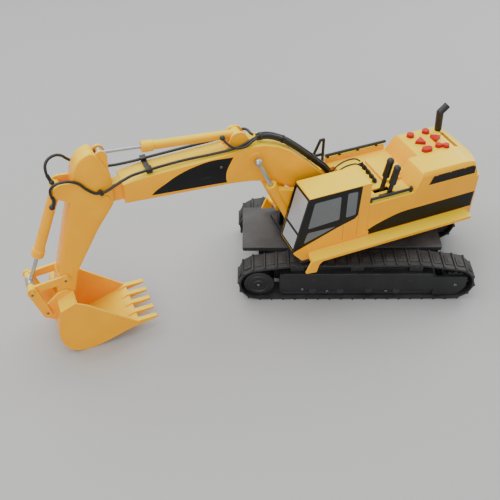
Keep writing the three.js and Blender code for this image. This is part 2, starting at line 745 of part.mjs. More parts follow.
function engineHood() {
  const split = -11;
  const body = (inset) => {
    const near = slab(hoodProfile(HOOD_FRONT, inset), HOUSE_LEFT - 1 + inset, split - inset);
    const far = slab(hoodProfile(HOOD_STEP, inset), split - 1 - inset, HOUSE_RIGHT + 1 - inset);
    return near.add(far).intersect(hoodEnvelope(inset)).intersect(hoodSection(inset));
  };
  const shell = body(0).subtract(body(WALL));
  const holes = buttonPlans().map(({ grown }) => plate(grown, HOOD_TOP - 12, HOOD_TOP + 4, BUTTON_STEPS));
  const [ex, ey] = exhaustPlace;
  const exhaustHole = bar([ex, ey, HOOD_TOP - 12], [ex, ey, HOOD_TOP + 3], EXHAUST_RADIUS - 1 + GAP);
  const grip = box(HOOD_REAR - 9.5, HOOD_REAR - 3.5, -10, 27, HOOD_TOP - 5, HOOD_TOP + 3);
  const louvre = box(HOOD_FRONT + 8, HOOD_REAR - 2, HOUSE_LEFT - 1, HOUSE_LEFT + 0.8, HOUSE_SHOULDER + 5,
    HOUSE_SHOULDER + 18);
  return toMesh('engine_hood', cut(shell, [...holes, exhaustHole, grip, louvre]), yellow());
}

// ---------------------------------------------------------------- controls
const exhaustPlace = [139.5, 33];
const leverPlaces = [[19, -28, 42], [22, -40.2, 38]];  // x, y and height above the shoulder

function circlePlan(x, y, radius) {
  const shape = new THREE.Shape();
  shape.absarc(x, y, radius, 0, Math.PI, false);
  shape.absarc(x, y, radius, Math.PI, 2 * Math.PI, false);
  return shape;
}

function trianglePlan(x, y, size, direction) {
  return outline([
    [x - direction * size * 0.62, y - size, 1.6],
    [x + direction * size * 1.1, y, 1.6],
    [x - direction * size * 0.62, y + size, 1.6],
  ].sort((a, b) => direction * (a[1] - b[1])));
}

function ovalPlan(x, y, halfLength, radius) {
  const shape = new THREE.Shape();
  shape.absarc(x + halfLength, y, radius, -Math.PI / 2, Math.PI / 2, false);
  shape.absarc(x - halfLength, y, radius, Math.PI / 2, 1.5 * Math.PI, false);
  shape.closePath();
  return shape;
}

function dumbbellPlan(x, y, halfLength, radius) {
  const waist = radius * 0.45;
  const bend = Math.asin(waist / radius);
  const shape = new THREE.Shape();
  const reach = [halfLength * Math.cos(DUMBBELL_TURN), halfLength * Math.sin(DUMBBELL_TURN)];
  const start = Math.PI + bend + DUMBBELL_TURN;
  shape.absarc(x + reach[0], y + reach[1], radius, start, start + 2 * (Math.PI - bend), false);
  const [from, to] = [bend + DUMBBELL_TURN, 2 * Math.PI - bend + DUMBBELL_TURN];
  shape.absarc(x - reach[0], y - reach[1], radius, from, to, false);
  shape.closePath();
  return shape;
}

// Every button's own plan, and the plan of its hole in the hood.
function buttonPlans() {
  const r = BUTTON_RADIUS;
  const makers = [
    ['button_round_front', (g) => circlePlan(95, 32.5, r + g)],
    ['button_round_rear', (g) => circlePlan(119.5, 33, r + g)],
    ['button_triangle_front', (g) => trianglePlan(99, 14.5, r + 2.6 + g, -1)],
    ['button_triangle_rear', (g) => trianglePlan(123, 14, r + 2.6 + g, 1)],
    ['button_oval', (g) => ovalPlan(97.5, -4.8, 2.8, r - 0.4 + g)],
    ['button_dumbbell', (g) => dumbbellPlan(121, -4.8, 5.2, r - 0.7 + g)],
  ];
  return makers.map(([name, plan]) => ({ name, plan: plan(0), grown: plan(RUN) }));
}

function button({ name, plan }) {
  return toMesh(name, plate(plan, HOOD_TOP - 9, HOOD_TOP + BUTTON_RAISE, BUTTON_STEPS), red());
}

function along3(a, b, share) {
  return a.map((value, i) => value + (b[i] - value) * share);
}

function exhaustPipe() {
  const [x, y] = exhaustPlace;
  const elbow = [x - 2, y, HOOD_TOP + EXHAUST_HEIGHT];
  const tip = [x + 8, y, HOOD_TOP + EXHAUST_HEIGHT + 8.5];
  const upright = bar([x, y, HOOD_TOP + 1], elbow, EXHAUST_RADIUS);
  const spigot = bar([x, y, HOOD_TOP - 8], [x, y, HOOD_TOP + 1], EXHAUST_RADIUS - 1);
  const outlet = bar(elbow, tip, EXHAUST_RADIUS);
  const knee = ball(elbow, EXHAUST_RADIUS);
  const bore = bar(along3(elbow, tip, 0.5), along3(elbow, tip, 1.5), EXHAUST_RADIUS - 1.4);
  return toMesh('exhaust_pipe', cut(join([spigot, upright, knee, outlet]), [bore]), black());
}

function lever(name, [x, y, height]) {
  const pivotZ = HOUSE_SHOULDER - 10;
  const top = [x + 7, y, HOUSE_SHOULDER + height];
  const shoulder = [x + 3, y, HOUSE_SHOULDER + height - LEVER_GRIP];
  const stem = bar([x - 2, y, pivotZ], shoulder, 3.1, 3.1, 10);
  const grip = bar(shoulder, top, 4.9, 4.5, 14);
  const knob = ball(top, 5);
  const hub = crossPin([x - 2, pivotZ], y - 3, y + 3, 4, 12);
  return toMesh(name, join([stem, grip, knob, hub]), black());
}

function handRailLeft() {
  const y = HOUSE_LEFT + 5;
  const z = HOUSE_SHOULDER + 4;
  const x0 = CAB_REAR + 1.5;
  const x1 = HOOD_FRONT - HOOD_SLOPE - 1;
  const rod = bar([x0, y, z], [x1, y, z], RAIL_RADIUS, RAIL_RADIUS, 12);
  const feet = [[x0 + 3, z], [x1 - 2, z + 3.5]].map(([x, top]) => bar(
    [x, y, HOUSE_SHOULDER + GAP],
    [x, y, top],
    RAIL_RADIUS,
    RAIL_RADIUS,
    12,
  ));
  return toMesh('hand_rail_left', join([rod, ...feet]), black());
}

function handRailRight() {
  const y = RAIL_Y;
  const base = HOUSE_SHOULDER + LIP_HEIGHT + GAP;
  const z = base + 3.6;
  const rod = bar([LIP_FRONT, y, z], [HOOD_STEP - 10, y, z], RAIL_RADIUS, RAIL_RADIUS, 12);
  const feet = [LIP_FRONT + 4, 0, 28, 57].map((x) => {
    return bar([x, y, base], [x, y, z], RAIL_RADIUS, RAIL_RADIUS, 12);
  });
  return toMesh('hand_rail_right', join([rod, ...feet]), black());
}

function grabFrame() {
  const y = RAIL_Y - 2;
  const base = HOUSE_SHOULDER + GAP;
  const apexFront = [-32, y, base + 39];
  const apexRear = [-27, y, base + 39];
  const front = [-48, y, base + 1];
  const rear = [-27, y, base];
  const rungFront = [-41.5, y, base + 16];
  const rungRear = [-27, y, base + 16];
  const tubes = [[front, apexFront], [rear, apexRear], [apexFront, apexRear], [rungFront, rungRear]]
    .map(([from, to]) => bar(from, to, GRAB_RADIUS, GRAB_RADIUS, 8));
  const knees = [apexFront, apexRear].map((place) => ball(place, GRAB_RADIUS));
  return toMesh('grab_frame', join([...tubes, ...knees]), black());
}

function switchBoard() {
  const z = HOUSE_SHOULDER + 8;
  const board = box(86, 130, -14, 42, z, z + 1.6);
  return toMesh('switch_board', board, green());
}

function speaker() {
  const z = shellBottom + GAP;
  const cone = bar([112, 0, z], [112, 0, z + 12], 22, 16, 28);
  return toMesh('speaker', cone, black());
}

function house() {
  const group = new THREE.Group();
  group.add(houseFloor(), houseShell());
  group.add(walkway('walkway_left', -1), walkway('walkway_right', 1));
  group.add(cabShell());
  group.add(toMesh('cab_window_left', sideWindowSolid(HOUSE_LEFT, HOUSE_LEFT + PANE_THICKNESS, 0), pane()));
  group.add(toMesh('cab_window_right', sideWindowSolid(cabRight - PANE_THICKNESS, cabRight, 0), pane()));
  group.add(toMesh('cab_windscreen', windscreenSolid(0, PANE_THICKNESS, 0), pane()));
  group.add(engineHood(), exhaustPipe());
  for (const plan of buttonPlans()) {
    group.add(button(plan));
  }
  group.add(lever('lever_inner', leverPlaces[0]), lever('lever_outer', leverPlaces[1]));
  group.add(handRailLeft(), handRailRight(), grabFrame());
  group.add(switchBoard(), speaker());
  return group;
}

// ---------------------------------------------------------------- arm
const cylinderOffset = BOOM_WIDTH / 2 + 7.5;  // boom cylinders beside the boom

function boomOutline(inset) {
  const i = inset;
  const [fx, fz] = BOOM_FOOT;
  const foot = 15 - i;
  const shape = new THREE.Shape();
  shape.moveTo(-306 + i, 222 - i);
  shape.lineTo(-280, 226 - i);
  shape.lineTo(-184, 229.5 - i);
  shape.bezierCurveTo(-150, 236 - i, -116 - i / 2, 238 - i, -79 - i, 196.5 - i / 2);
  shape.lineTo(-50 - i, 166);
  shape.absarc(fx, fz, foot, 0.6, -2.2, true);
  shape.lineTo(-66 + i, 122);
  shape.bezierCurveTo(-95 + i, 165 + i, -120, 183 + i, -178, 187.5 + i);
  shape.lineTo(-266, 193.5 + i);
  shape.lineTo(-306 + i, 196 + i);
  shape.closePath();
  return shape;
}

// The narrow tongue at the boom's nose that goes between the stick's cheeks.
function boomTongue() {
  return linkOutline(BOOM_NOSE, [-296, 209], 11, 13);
}

function boomHalf(name, side) {
  const half = BOOM_WIDTH / 2;
  const seam = ARM_Y + side * (GAP / 2);
  const outer = ARM_Y + side * half;
  const whole = roundedSlab(boomOutline(0), ARM_Y - half, ARM_Y + half, BOOM_BEVEL, 6);
  const skin = whole.intersect(box(-450, 0, ...between(seam, outer + side), 0, 300));
  const hollow = slab(boomOutline(WALL), ...between(seam - side, outer - side * WALL), 4);
  const tongueOuter = ARM_Y + side * (NOSE_WIDTH / 2);
  const tongue = slab(boomTongue(), ...between(seam, tongueOuter), 4);
  const boss = crossPin(BOOM_BALL, ...between(outer - side, outer + side * 1.6), 9, 16);
  const pinHole = crossPin(BOOM_NOSE, ARM_Y - half, ARM_Y + half, PIN_RADIUS + RUN);
  const footHole = crossPin(BOOM_FOOT, ARM_Y - half - 1, ARM_Y + half + 1, FOOT_PIN_RADIUS + GAP);
  const footBoss = crossPin(BOOM_FOOT, ...between(seam, outer), 8);
  const [bx, bz] = BOOM_BRACKET;
  const bracket = slab(outline([
    [bx - 15, 228], [bx + 15, 229], [bx + 16, 234, 2],
    [bx + 7, bz + 6, 6], [bx - 7, bz + 6, 6], [bx - 14, 234, 2],
  ]), ...between(ARM_Y + side * BRACKET_INSIDE, ARM_Y + side * (BRACKET_INSIDE + EAR_THICKNESS)));
  const body = join([skin.subtract(hollow), tongue, footBoss, boss, bracket]);
  return toMesh(name, cut(body, [pinHole, footHole]), yellow());
}

function boomFootPin() {
  const half = BOOM_WIDTH / 2 + RUN + CHEEK_THICKNESS;
  return toMesh('boom_foot_pin', crossPin(BOOM_FOOT, ARM_Y - half, ARM_Y + half, FOOT_PIN_RADIUS), chrome());
}

const hosePackPath = [
  [-140, 14, 238.4], [-128, 14, 238], [-116, 14, 233.5], [-103, 14, 225.5], [-90, 14, 214.5],
  [-74, 14, 199.5], [-58, 14, 183.5], [-44, 14, 169], [-34, 14, 154],
];

function boomConduit() {
  return toMesh('boom_conduit', tube(hosePackPath, CONDUIT_RADIUS, 18, 10), rubber());
}

// Stick: two halves, with a fork at its head for the boom's nose.
function stickOutline(inset) {
  const i = inset;
  return outline([
    [-357 + i, 250 - i, 6],
    [-349 + i, 264 - i, 8],
    [-334, 270 - i, 5],
    [-327 - i, 262 - i, 6],
    [-316.5 - i, 238, 6],
    [-316.5 - i, 198, 8],
    [-340 - i, 166, 6],
    [-375 - i, 107 + i, 3],
    [-383 - i, 74 + i, 8],
    [-404 + i, 74 + i, 8],
    [-399.5 + i, 106, 4],
    [-378 + i, 178, 4],
    [-364 + i, 222, 4],
  ]);
}

// Room for the rod's eye between the ears on the stick's head.
function earNotch() {
  const [x, z] = STICK_EAR;
  const y0 = ARM_Y - EAR_INSIDE;
  const y1 = ARM_Y + EAR_INSIDE;
  const round = crossPin(STICK_EAR, y0, y1, ROD_EYE_RADIUS + OPEN_PIVOT_PLAY, 16);
  const behind = slab(outline([
    [x - 5, z - 5], [x + 14, z - 26], [x + 20, z + 20], [x - 3, z + 12],
  ]), y0, y1);
  return round.add(behind);
}

function stickHalf(name, side) {
  const half = STICK_WIDTH / 2;
  const seam = ARM_Y + side * (GAP / 2);
  const outer = ARM_Y + side * half;
  const whole = roundedSlab(stickOutline(0), ARM_Y - half, ARM_Y + half, STICK_BEVEL);
  const ownHalf = box(-450, -300, ...between(seam, outer + side), 0, 300);
  const hollow = slab(stickOutline(WALL), ...between(seam - side, outer - side * WALL));
  const [ex, ez] = STICK_EAR;
  const ear = slab(outline([
    [ex - 9, ez - 13, 2], [ex + 5, ez - 24, 2], [ex + 7, ez + 1, 5], [ex + 2, ez + 7, 5], [ex - 5, ez + 6, 5],
  ]), ...between(ARM_Y + side * EAR_INSIDE, ARM_Y + side * (EAR_INSIDE + EAR_THICKNESS)));
  const lobe = slab(linkOutline([-371.5, 227.5], [-356, 222], 10.5, 14), ...between(
    ARM_Y + side * LOBE_INSIDE,
    outer - side * 0.6,
  ));
  const slot = slab(outline([
    [-341, 194], [-300, 178], [-300, 234], [-341, 222],
  ]), ARM_Y - NOSE_WIDTH / 2 - RUN, ARM_Y + NOSE_WIDTH / 2 + RUN);
  const solidTip = slab(linkOutline(IDLER_PIVOT, BUCKET_PIVOT, 9, 8.5), ...between(seam, outer));
  const headBoss = crossPin(BOOM_NOSE, ...between(ARM_Y + side * (NOSE_WIDTH / 2 + RUN), outer), 8.5);
  const eyeRoom = crossPin(STICK_LOBE, ARM_Y - LOBE_INSIDE, ARM_Y + LOBE_INSIDE, BARREL_EYE_RADIUS + 1);
  const body = join([whole.intersect(ownHalf).subtract(hollow), ear, lobe, solidTip, headBoss]);
  const pins = [[BOOM_NOSE, GAP], [IDLER_PIVOT, RUN], [BUCKET_PIVOT, RUN]].map(([place, play]) => crossPin(
    place,
    ARM_Y - half - 1,
    ARM_Y + half + 1,
    PIN_RADIUS + play,
  ));
  return toMesh(name, cut(body, [slot, earNotch(), eyeRoom, ...pins]), yellow());
}

function stickPin() {
  const half = STICK_WIDTH / 2 + GAP;
  const pin = crossPin(BOOM_NOSE, ARM_Y - half, ARM_Y + half, PIN_RADIUS);
  const caps = [-1, 1].map((side) => crossPin(BOOM_NOSE, ...between(
    ARM_Y + side * half,
    ARM_Y + side * (half + 2.4),
  ), 4.6));
  return toMesh('stick_pin', join([pin, ...caps]), yellow());
}

// ---------------------------------------------------------------- hydraulic cylinders
// A barrel with an eye at its foot and a collar at its mouth, and the rod that slides in it.
function cylinderBarrel({ foot, head, y, radius, rodRadius, barrelLength, collar, lip, eyeHalf, eyeRadius }) {
  const at = ([x, z]) => [x, y, z];
  const start = along(foot, head, eyeRadius * 0.5);
  const mouth = along(foot, head, barrelLength);
  const barrel = bar(at(start), at(mouth), radius);
  const ring = bar(at(along(foot, head, barrelLength - collar)), at(mouth), radius + lip);
  const eye = crossPin(foot, y - eyeHalf, y + eyeHalf, eyeRadius);
  const boreStart = at(along(foot, head, eyeRadius + 4));
  const bore = bar(boreStart, at(along(foot, head, barrelLength + 1)), rodRadius + RUN);
  return join([barrel, ring, eye]).subtract(bore);
}

function cylinderRod({ foot, head, y, rodRadius, start, eyeHalf, eyeRadius }) {
  const at = ([x, z]) => [x, y, z];
  const rod = bar(at(along(foot, head, start)), at(head), rodRadius, rodRadius, 12);
  const eye = crossPin(head, y - eyeHalf, y + eyeHalf, eyeRadius);
  return join([rod, eye]);
}

function boomCylinder(word, side) {
  const y = ARM_Y + side * cylinderOffset;
  const spec = {
    foot: BARREL_FOOT, head: BOOM_BALL, y, radius: 6.2, rodRadius: 2.9, barrelLength: 84, collar: 6, lip: 0.7,
    eyeHalf: 4.5, eyeRadius: 8,
  };
  const body = cylinderBarrel(spec);
  const [fx, fz] = BARREL_FOOT;
  const finTop = along(BARREL_FOOT, BOOM_BALL, 76);
  const fin = slab(outline([
    [fx + 2, fz + 4], [fx + 8, fz + 10, 2], [fx + 2, finTop[1] - 10, 2], [finTop[0] + 3, finTop[1]],
  ]), ...between(y - 4.4, y + 4.4));
  const at = (distance) => {
    const [x, z] = along(BARREL_FOOT, BOOM_BALL, distance);
    return [x, y, z];
  };
  const bore = bar(at(12), at(90), spec.rodRadius + RUN);
  const pinHole = crossPin(BARREL_FOOT, y - 10, y + 10, PIN_RADIUS + RUN);
  const barrel = toMesh(`boom_cylinder_barrel_${word}`, cut(join([body, fin]), [bore, pinHole]), yellow());
  const rod = bar(at(40), [BOOM_BALL[0], y, BOOM_BALL[1]], spec.rodRadius);
  const knob = ball([BOOM_BALL[0], y, BOOM_BALL[1]], 5);
  return [barrel, toMesh(`boom_cylinder_rod_${word}`, rod.add(knob), chrome())];
}

function stickCylinder() {
  const spec = {
    foot: BOOM_BRACKET, head: STICK_EAR, y: ARM_Y, radius: 5.4, rodRadius: 2,
    barrelLength: 114, collar: 13, lip: 1.4,
    eyeHalf: BRACKET_INSIDE - RUN, eyeRadius: 6,
  };
  const barrel = toMesh('stick_cylinder_barrel', cylinderBarrel(spec), yellow());
  const rod = cylinderRod({
    foot: BOOM_BRACKET, head: STICK_EAR, y: ARM_Y, rodRadius: 2, start: 38, eyeHalf: EAR_INSIDE - RUN,
    eyeRadius: ROD_EYE_RADIUS,
  });
  return [barrel, toMesh('stick_cylinder_rod', rod, chrome())];
}

function bucketCylinder() {
  const spec = {
    foot: STICK_LOBE, head: LINK_JOINT, y: ARM_Y, radius: 6.2, rodRadius: 2.4,
    barrelLength: 96, collar: 9, lip: 1.4,
    eyeHalf: LOBE_INSIDE - RUN, eyeRadius: BARREL_EYE_RADIUS,
  };
  const fitting = crossPin(HOSE_FITTING, ARM_Y - 9.4, ARM_Y - 5, 3.2, 12);
  const barrel = toMesh('bucket_cylinder_barrel', cylinderBarrel(spec).add(fitting), yellow());
  const rod = cylinderRod({
    foot: STICK_LOBE, head: LINK_JOINT, y: ARM_Y, rodRadius: 2.4, start: 30, eyeHalf: 6, eyeRadius: 5.4,
  });
  return [barrel, toMesh('bucket_cylinder_rod', rod, chrome())];
}

// ---------------------------------------------------------------- bucket and its links
const linkInner = STICK_WIDTH / 2 + RUN;
const linkOuter = linkInner + LINK_THICKNESS;

function idlerLink() {
  const sides = [-1, 1].flatMap((side) => [
    slab(linkOutline(IDLER_PIVOT, LINK_JOINT, 5.5, 5), ...between(
      ARM_Y + side * linkInner,
      ARM_Y + side * linkOuter,
    )),
    crossPin(LINK_JOINT, ...between(ARM_Y + side * 6.6, ARM_Y + side * linkOuter), 5),
    crossPin(LINK_JOINT, ...between(ARM_Y + side * linkInner,
      ARM_Y + side * (linkOuter + LINK_THICKNESS + 1)),
      PIN_RADIUS),
  ]);
  const pin = crossPin(IDLER_PIVOT, ARM_Y - linkOuter - 1, ARM_Y + linkOuter + 1, PIN_RADIUS);
  return toMesh('idler_link', join([...sides, pin]), yellow());
}

function bucketLink(word, side) {
  const from = linkOuter + GAP;
  const body = slab(linkOutline(LINK_JOINT, BUCKET_EAR, 6, 5.5), ...between(
    ARM_Y + side * from,
    ARM_Y + side * (from + LINK_THICKNESS - 0.4),
  ));
  const bore = crossPin(LINK_JOINT, ARM_Y - 40, ARM_Y + 40, PIN_RADIUS + RUN);
  return toMesh(`bucket_link_${word}`, body.subtract(bore), yellow());
}

function bucketProfile(inset) {
  const i = inset;
  const shape = new THREE.Shape();
  shape.moveTo(-315 + i * 2, 21 + i * 0.4);
  shape.lineTo(-361, 62 + i);
  shape.lineTo(-374, 74.6 + i);
  shape.lineTo(-388.5 + i * 0.4, 84 - i);
  shape.lineTo(-407 + i, 76 - i);
  shape.lineTo(-415 + i, 42);
  shape.bezierCurveTo(-416 + i, 18, -408 + i * 0.6, i, -386, i);
  shape.bezierCurveTo(-372, i, -358, 4 + i, -336, 12 + i);
  shape.lineTo(-316 + i, 17.5 + i);
  shape.closePath();
  return shape;
}

function bucket() {
  const half = BUCKET_WIDTH / 2;
  const shell = slab(bucketProfile(0), ARM_Y - half, ARM_Y + half, 6);
  const scoop = slab(bucketInside(), ARM_Y - half + BUCKET_WALL, ARM_Y + half - BUCKET_WALL, 5);
  const teeth = Array.from({ length: TEETH }, (_, n) => {
    const y = ARM_Y - half + 4 + (n * (BUCKET_WIDTH - 8)) / (TEETH - 1);
    return slab(outline([
      [-322, 14.5], [-291, 20.5], [-291, 23, 0.8], [-318, 23], [-326, 19],
    ]), y - 3.2, y + 3.2);
  });
  const ears = [-1, 1].map((side) => slab(earOutline(), ...between(
    ARM_Y + side * linkInner,
    ARM_Y + side * linkOuter,
  )));
  const pocket = crossPin(BUCKET_PIVOT, ARM_Y - linkInner, ARM_Y + linkInner, 14, 20);
  const pin = crossPin(BUCKET_PIVOT, ARM_Y - linkOuter - 1, ARM_Y + linkOuter + 1, PIN_RADIUS);
  const stubs = [-1, 1].map((side) => crossPin(BUCKET_EAR, ...between(
    ARM_Y + side * linkInner,
    ARM_Y + side * linkOuter,
  ), 4));
  const body = cut(join([shell, ...ears, ...stubs]), [scoop]);
  const pocketWall = pocket.intersect(shell);
  return toMesh('bucket', join([body.subtract(pocketWall), pin, ...teeth]), yellow());
}

function bucketInside() {
  const shape = new THREE.Shape();
  const w = BUCKET_WALL;
  shape.moveTo(-300, 24);
  shape.lineTo(-330, 120);
  shape.lineTo(-381, 100);
  shape.lineTo(-386, 83 - w);
  shape.lineTo(-390, 64);
  shape.lineTo(-405, 60);
  shape.lineTo(-415 + w, 42);
  shape.bezierCurveTo(-416 + w, 18 + w, -408 + w, w, -386, w);
  shape.bezierCurveTo(-372, w, -358, 4 + w, -336, 12 + w);
  shape.lineTo(-318, 21);
  shape.closePath();
  return shape;
}

function earOutline() {
  const [px, pz] = BUCKET_PIVOT;
  const [ex, ez] = BUCKET_EAR;
  return outline([
    [ex - 7, ez - 4, 4], [ex - 5, ez + 7, 4], [px - 6, pz + 8, 5], [px + 5, pz + 8, 5], [px + 9, pz, 4],
    [px + 2, pz - 22], [-409, 40],
  ]);
}

// ---------------------------------------------------------------- arm hoses
const leftHosePath = [
  [-142.6, 11.6, 239.4], [-150, 8.6, 238.8], [-158, 6.6, 237.2], [-170, 6, 235.2], [-190, 8.5, 232.6],
  [-230, 11, 231.6], [-262, 10, 231], [-290.5, 6, 231.4], [-303.7, 3, 229.9], [-315.5, 2.8, 224.8],
  [-324.7, 4, 219.5], [-331, 5.2, 217.8], [-338.5, 5.7, 219], [-346.7, 5.8, 227], [-353.5, 5.8, 236],
  [-362, 5.8, 241.3], [-371.8, 5.8, 242.9], [-379.5, 6.4, 240.8], [-384.2, 7, 235.6], [-384.8, 7.5, 228.2],
  [-383, 8.2, 220.5], [-384.2, 9.2, 213.4],
];
const rightHosePath = [
  [-142.6, 16.6, 240.6], [-145, 20.5, 241.8], [-146, 27, 242.4], [-150, 32.8, 241.2], [-162, 34.8, 237.2],
  [-180, 34.8, 233.8], [-230, 34.8, 232], [-264, 34.8, 230.8], [-290, 35, 229.6], [-315.5, 35, 231],
  [-338, 34.8, 238], [-355.5, 33.6, 251], [-363, 32, 259.5], [-370, 30, 262.8], [-377.5, 27, 262],
  [-382.4, 25, 256.5], [-383.5, 23, 248], [-382, 21.4, 241.5], [-380.6, 20.4, 237.4],
];

function armHoses() {
  return [
    toMesh('hose_left', tube(leftHosePath, HOSE_RADIUS, 44), rubber()),
    toMesh('hose_right', tube(rightHosePath, HOSE_RADIUS, 40), rubber()),
  ];
}

function arm() {
  const group = new THREE.Group();
  group.add(boomHalf('boom_left_half', -1), boomHalf('boom_right_half', 1));
  group.add(boomFootPin(), boomConduit());
  group.add(...boomCylinder('left', -1), ...boomCylinder('right', 1));
  group.add(stickHalf('stick_left_half', -1), stickHalf('stick_right_half', 1), stickPin());
  group.add(...stickCylinder(), ...bucketCylinder());
  group.add(idlerLink(), bucketLink('left', -1), bucketLink('right', 1), bucket());
  group.add(...armHoses());
  return group;
}

// ---------------------------------------------------------------- whole machine
const excavator = new THREE.Group();
excavator.position.set(SLEW_X, SLEW_Y, 0);
excavator.add(undercarriage(), house(), arm());
excavator.updateMatrixWorld(true);

export default excavator;
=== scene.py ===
import json
from math import atan2, cos, pi, radians, sin

import bmesh
import bpy
from mathutils import Matrix, Vector
from mathutils.bvhtree import BVHTree

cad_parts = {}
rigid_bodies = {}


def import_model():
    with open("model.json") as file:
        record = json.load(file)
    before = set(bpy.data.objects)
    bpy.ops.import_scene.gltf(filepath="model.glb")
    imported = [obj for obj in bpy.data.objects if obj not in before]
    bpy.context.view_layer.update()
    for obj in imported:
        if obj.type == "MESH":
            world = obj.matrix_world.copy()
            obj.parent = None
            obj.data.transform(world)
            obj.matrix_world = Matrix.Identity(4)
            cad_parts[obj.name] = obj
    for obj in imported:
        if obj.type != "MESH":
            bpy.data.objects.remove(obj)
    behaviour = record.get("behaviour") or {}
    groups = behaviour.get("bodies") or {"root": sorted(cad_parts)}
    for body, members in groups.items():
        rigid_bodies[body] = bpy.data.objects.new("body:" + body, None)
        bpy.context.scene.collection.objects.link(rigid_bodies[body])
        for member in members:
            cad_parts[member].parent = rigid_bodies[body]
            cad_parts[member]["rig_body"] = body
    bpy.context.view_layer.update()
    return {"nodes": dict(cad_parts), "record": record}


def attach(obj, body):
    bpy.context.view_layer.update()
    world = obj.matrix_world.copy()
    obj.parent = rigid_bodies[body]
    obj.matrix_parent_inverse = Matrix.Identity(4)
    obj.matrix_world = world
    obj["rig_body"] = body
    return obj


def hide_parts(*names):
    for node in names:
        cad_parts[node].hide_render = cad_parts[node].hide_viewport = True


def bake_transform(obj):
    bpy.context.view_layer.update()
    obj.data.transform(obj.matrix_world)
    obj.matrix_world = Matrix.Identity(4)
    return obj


bl_info = {
    "name": "Toy Excavator Finish",
    "version": (1, 0, 0),
    "blender": (4, 5, 0),
    "location": "View3D > Sidebar > Excavator",
    "description": "Finishes a jointed toy excavator: plastics, decals, hoses, screws and track shoes",
    "category": "Object",
}

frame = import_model()

MM = 0.001
SLEW_X = 131.5  # the slew axis, along the row's X, in mm
TRACK_TURN = radians(-22.25)
ARM_Y = 20.0
CROWN = 84.0  # half the length of the track belt's flat top
TRACK_HALF = 131.0  # from the middle of a track to its end axle
TRACK_END_RADIUS = 29.0
TRACK_HEIGHT = 66.0
TRACK_MIDDLE = 61.8  # from the centre line to the middle of a track
GROUSER = 1.8
SHOE_COUNT = 44
RAY_RUN_UP = 0.2  # how far behind its start a ray begins, in metres
DRAPE_STEP = 5.0 * MM  # the grid a draped sheet is cut into
DRAPE_JUMP = 2.5 * MM  # a draped face that dips more than this is left out
CAB_LEFT, CAB_RIGHT = -51.0, -11.4


# ------------------------------------------------------------------ places
def at(x, y, z):
    """A point given in mm from the slew axis, as a point of the frame in metres."""
    return Vector(((x + SLEW_X) * MM, y * MM, z * MM))


def on_track(x, y, z):
    """A point of the turned undercarriage, in mm along and across the tracks."""
    turned = Vector((x, y, 0)) @ Matrix.Rotation(-TRACK_TURN, 3, "Z")
    return at(turned.x, turned.y, z)


def spline(points, steps=6):
    """A smooth line through the points."""
    line = []
    last = len(points) - 1
    for i in range(last):
        before = points[max(i - 1, 0)]
        a, b = points[i], points[i + 1]
        after = points[min(i + 2, last)]
        for step in range(steps):
            t = step / steps
            line.append(
                0.5 * (2 * a + (b - before) * t + (2 * before - 5 * a + 4 * b - after) * t * t
                       + (3 * a - before - 3 * b + after) * t ** 3)
            )
    line.append(points[-1].copy())
    return line


# ------------------------------------------------------------------ meshes
def add_piece(name, mesh, material, body):
    piece = bpy.data.objects.new(name, mesh)
    bpy.context.scene.collection.objects.link(piece)
    mesh.materials.clear()
    mesh.materials.append(material)
    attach(piece, body)
    return piece


def ship(bm, name, look, body):
    """Makes the mesh a piece of its own, with the named finish, riding on body."""
    piece = add_piece(name, finished(bm, name), MATERIALS[look], body)


def repaint(name, look):
    """Gives a CAD part the same finish as the piece that stands for it."""
    materials = frame["nodes"][name].data.materials
    materials.clear()
    materials.append(look)


def shade(bm, crease=32):
    """Smooth faces, with edges kept sharp where the surface turns by more than crease degrees."""
    for face in bm.faces:
        face.smooth = True
    for edge in bm.edges:
        edge.smooth = len(edge.link_faces) == 2 and edge.calc_face_angle(0) < radians(crease)


def finished(bm, name, crease=32):
    bmesh.ops.remove_doubles(bm, verts=bm.verts, dist=1e-6)
    bmesh.ops.recalc_face_normals(bm, faces=bm.faces)
    shade(bm, crease)
    mesh = bpy.data.meshes.new(name)
    bm.to_mesh(mesh)
    bm.free()
    return mesh


def rings(bm, sections):
    """Skins a list of point rings into a tube with closed ends."""
    made = [[bm.verts.new(point) for point in section] for section in sections]
    count = len(made[0])
    for lower, upper in zip(made, made[1:]):
        for i in range(count):
            k = (i + 1) % count
            bm.faces.new((lower[i], lower[k], upper[k], upper[i]))
    bm.faces.new(list(reversed(made[0])))
    bm.faces.new(made[-1])


def frames_along(line):
    """A side and a second direction at each point of a line, carried along without twist."""
    ways = []
    for i, point in enumerate(line):
        ahead = line[min(i + 1, len(line) - 1)] - line[max(i - 1, 0)]
        ways.append(ahead.normalized())
    side = ways[0].cross(Vector((0, 1, 0)))
    if side.length < 0.1:
        side = ways[0].cross(Vector((1, 0, 0)))
    side.normalize()
    turned = []
    for way in ways:
        side = (side - way * side.dot(way)).normalized()
        turned.append((way, side.copy(), way.cross(side)))
    return turned


def sweep(bm, line, radius, sides=14):
    """A round tube along a line. radius may be one value or one for each point."""
    radii = radius if isinstance(radius, list) else [radius] * len(line)
    sections = []
    for point, (_, side, other), r in zip(line, frames_along(line), radii):
        sections.append(
            [point + side * r * cos(2 * pi * i / sides) + other * r * sin(2 * pi * i / sides) for i in range(sides)]
        )
    rings(bm, sections)


def turned_shape(bm, start, way, profile, sides=24):
    """A turned shape on the axis from start along way. profile is (distance, radius) pairs in metres."""
    way = way.normalized()
    side = way.orthogonal().normalized()
    other = way.cross(side)
    sections = []
    for distance, radius in profile:
        middle = start + way * distance
        r = max(radius, 1e-5)
        sections.append(
            [middle + side * r * cos(2 * pi * i / sides) + other * r * sin(2 * pi * i / sides) for i in range(sides)]
        )
    rings(bm, sections)


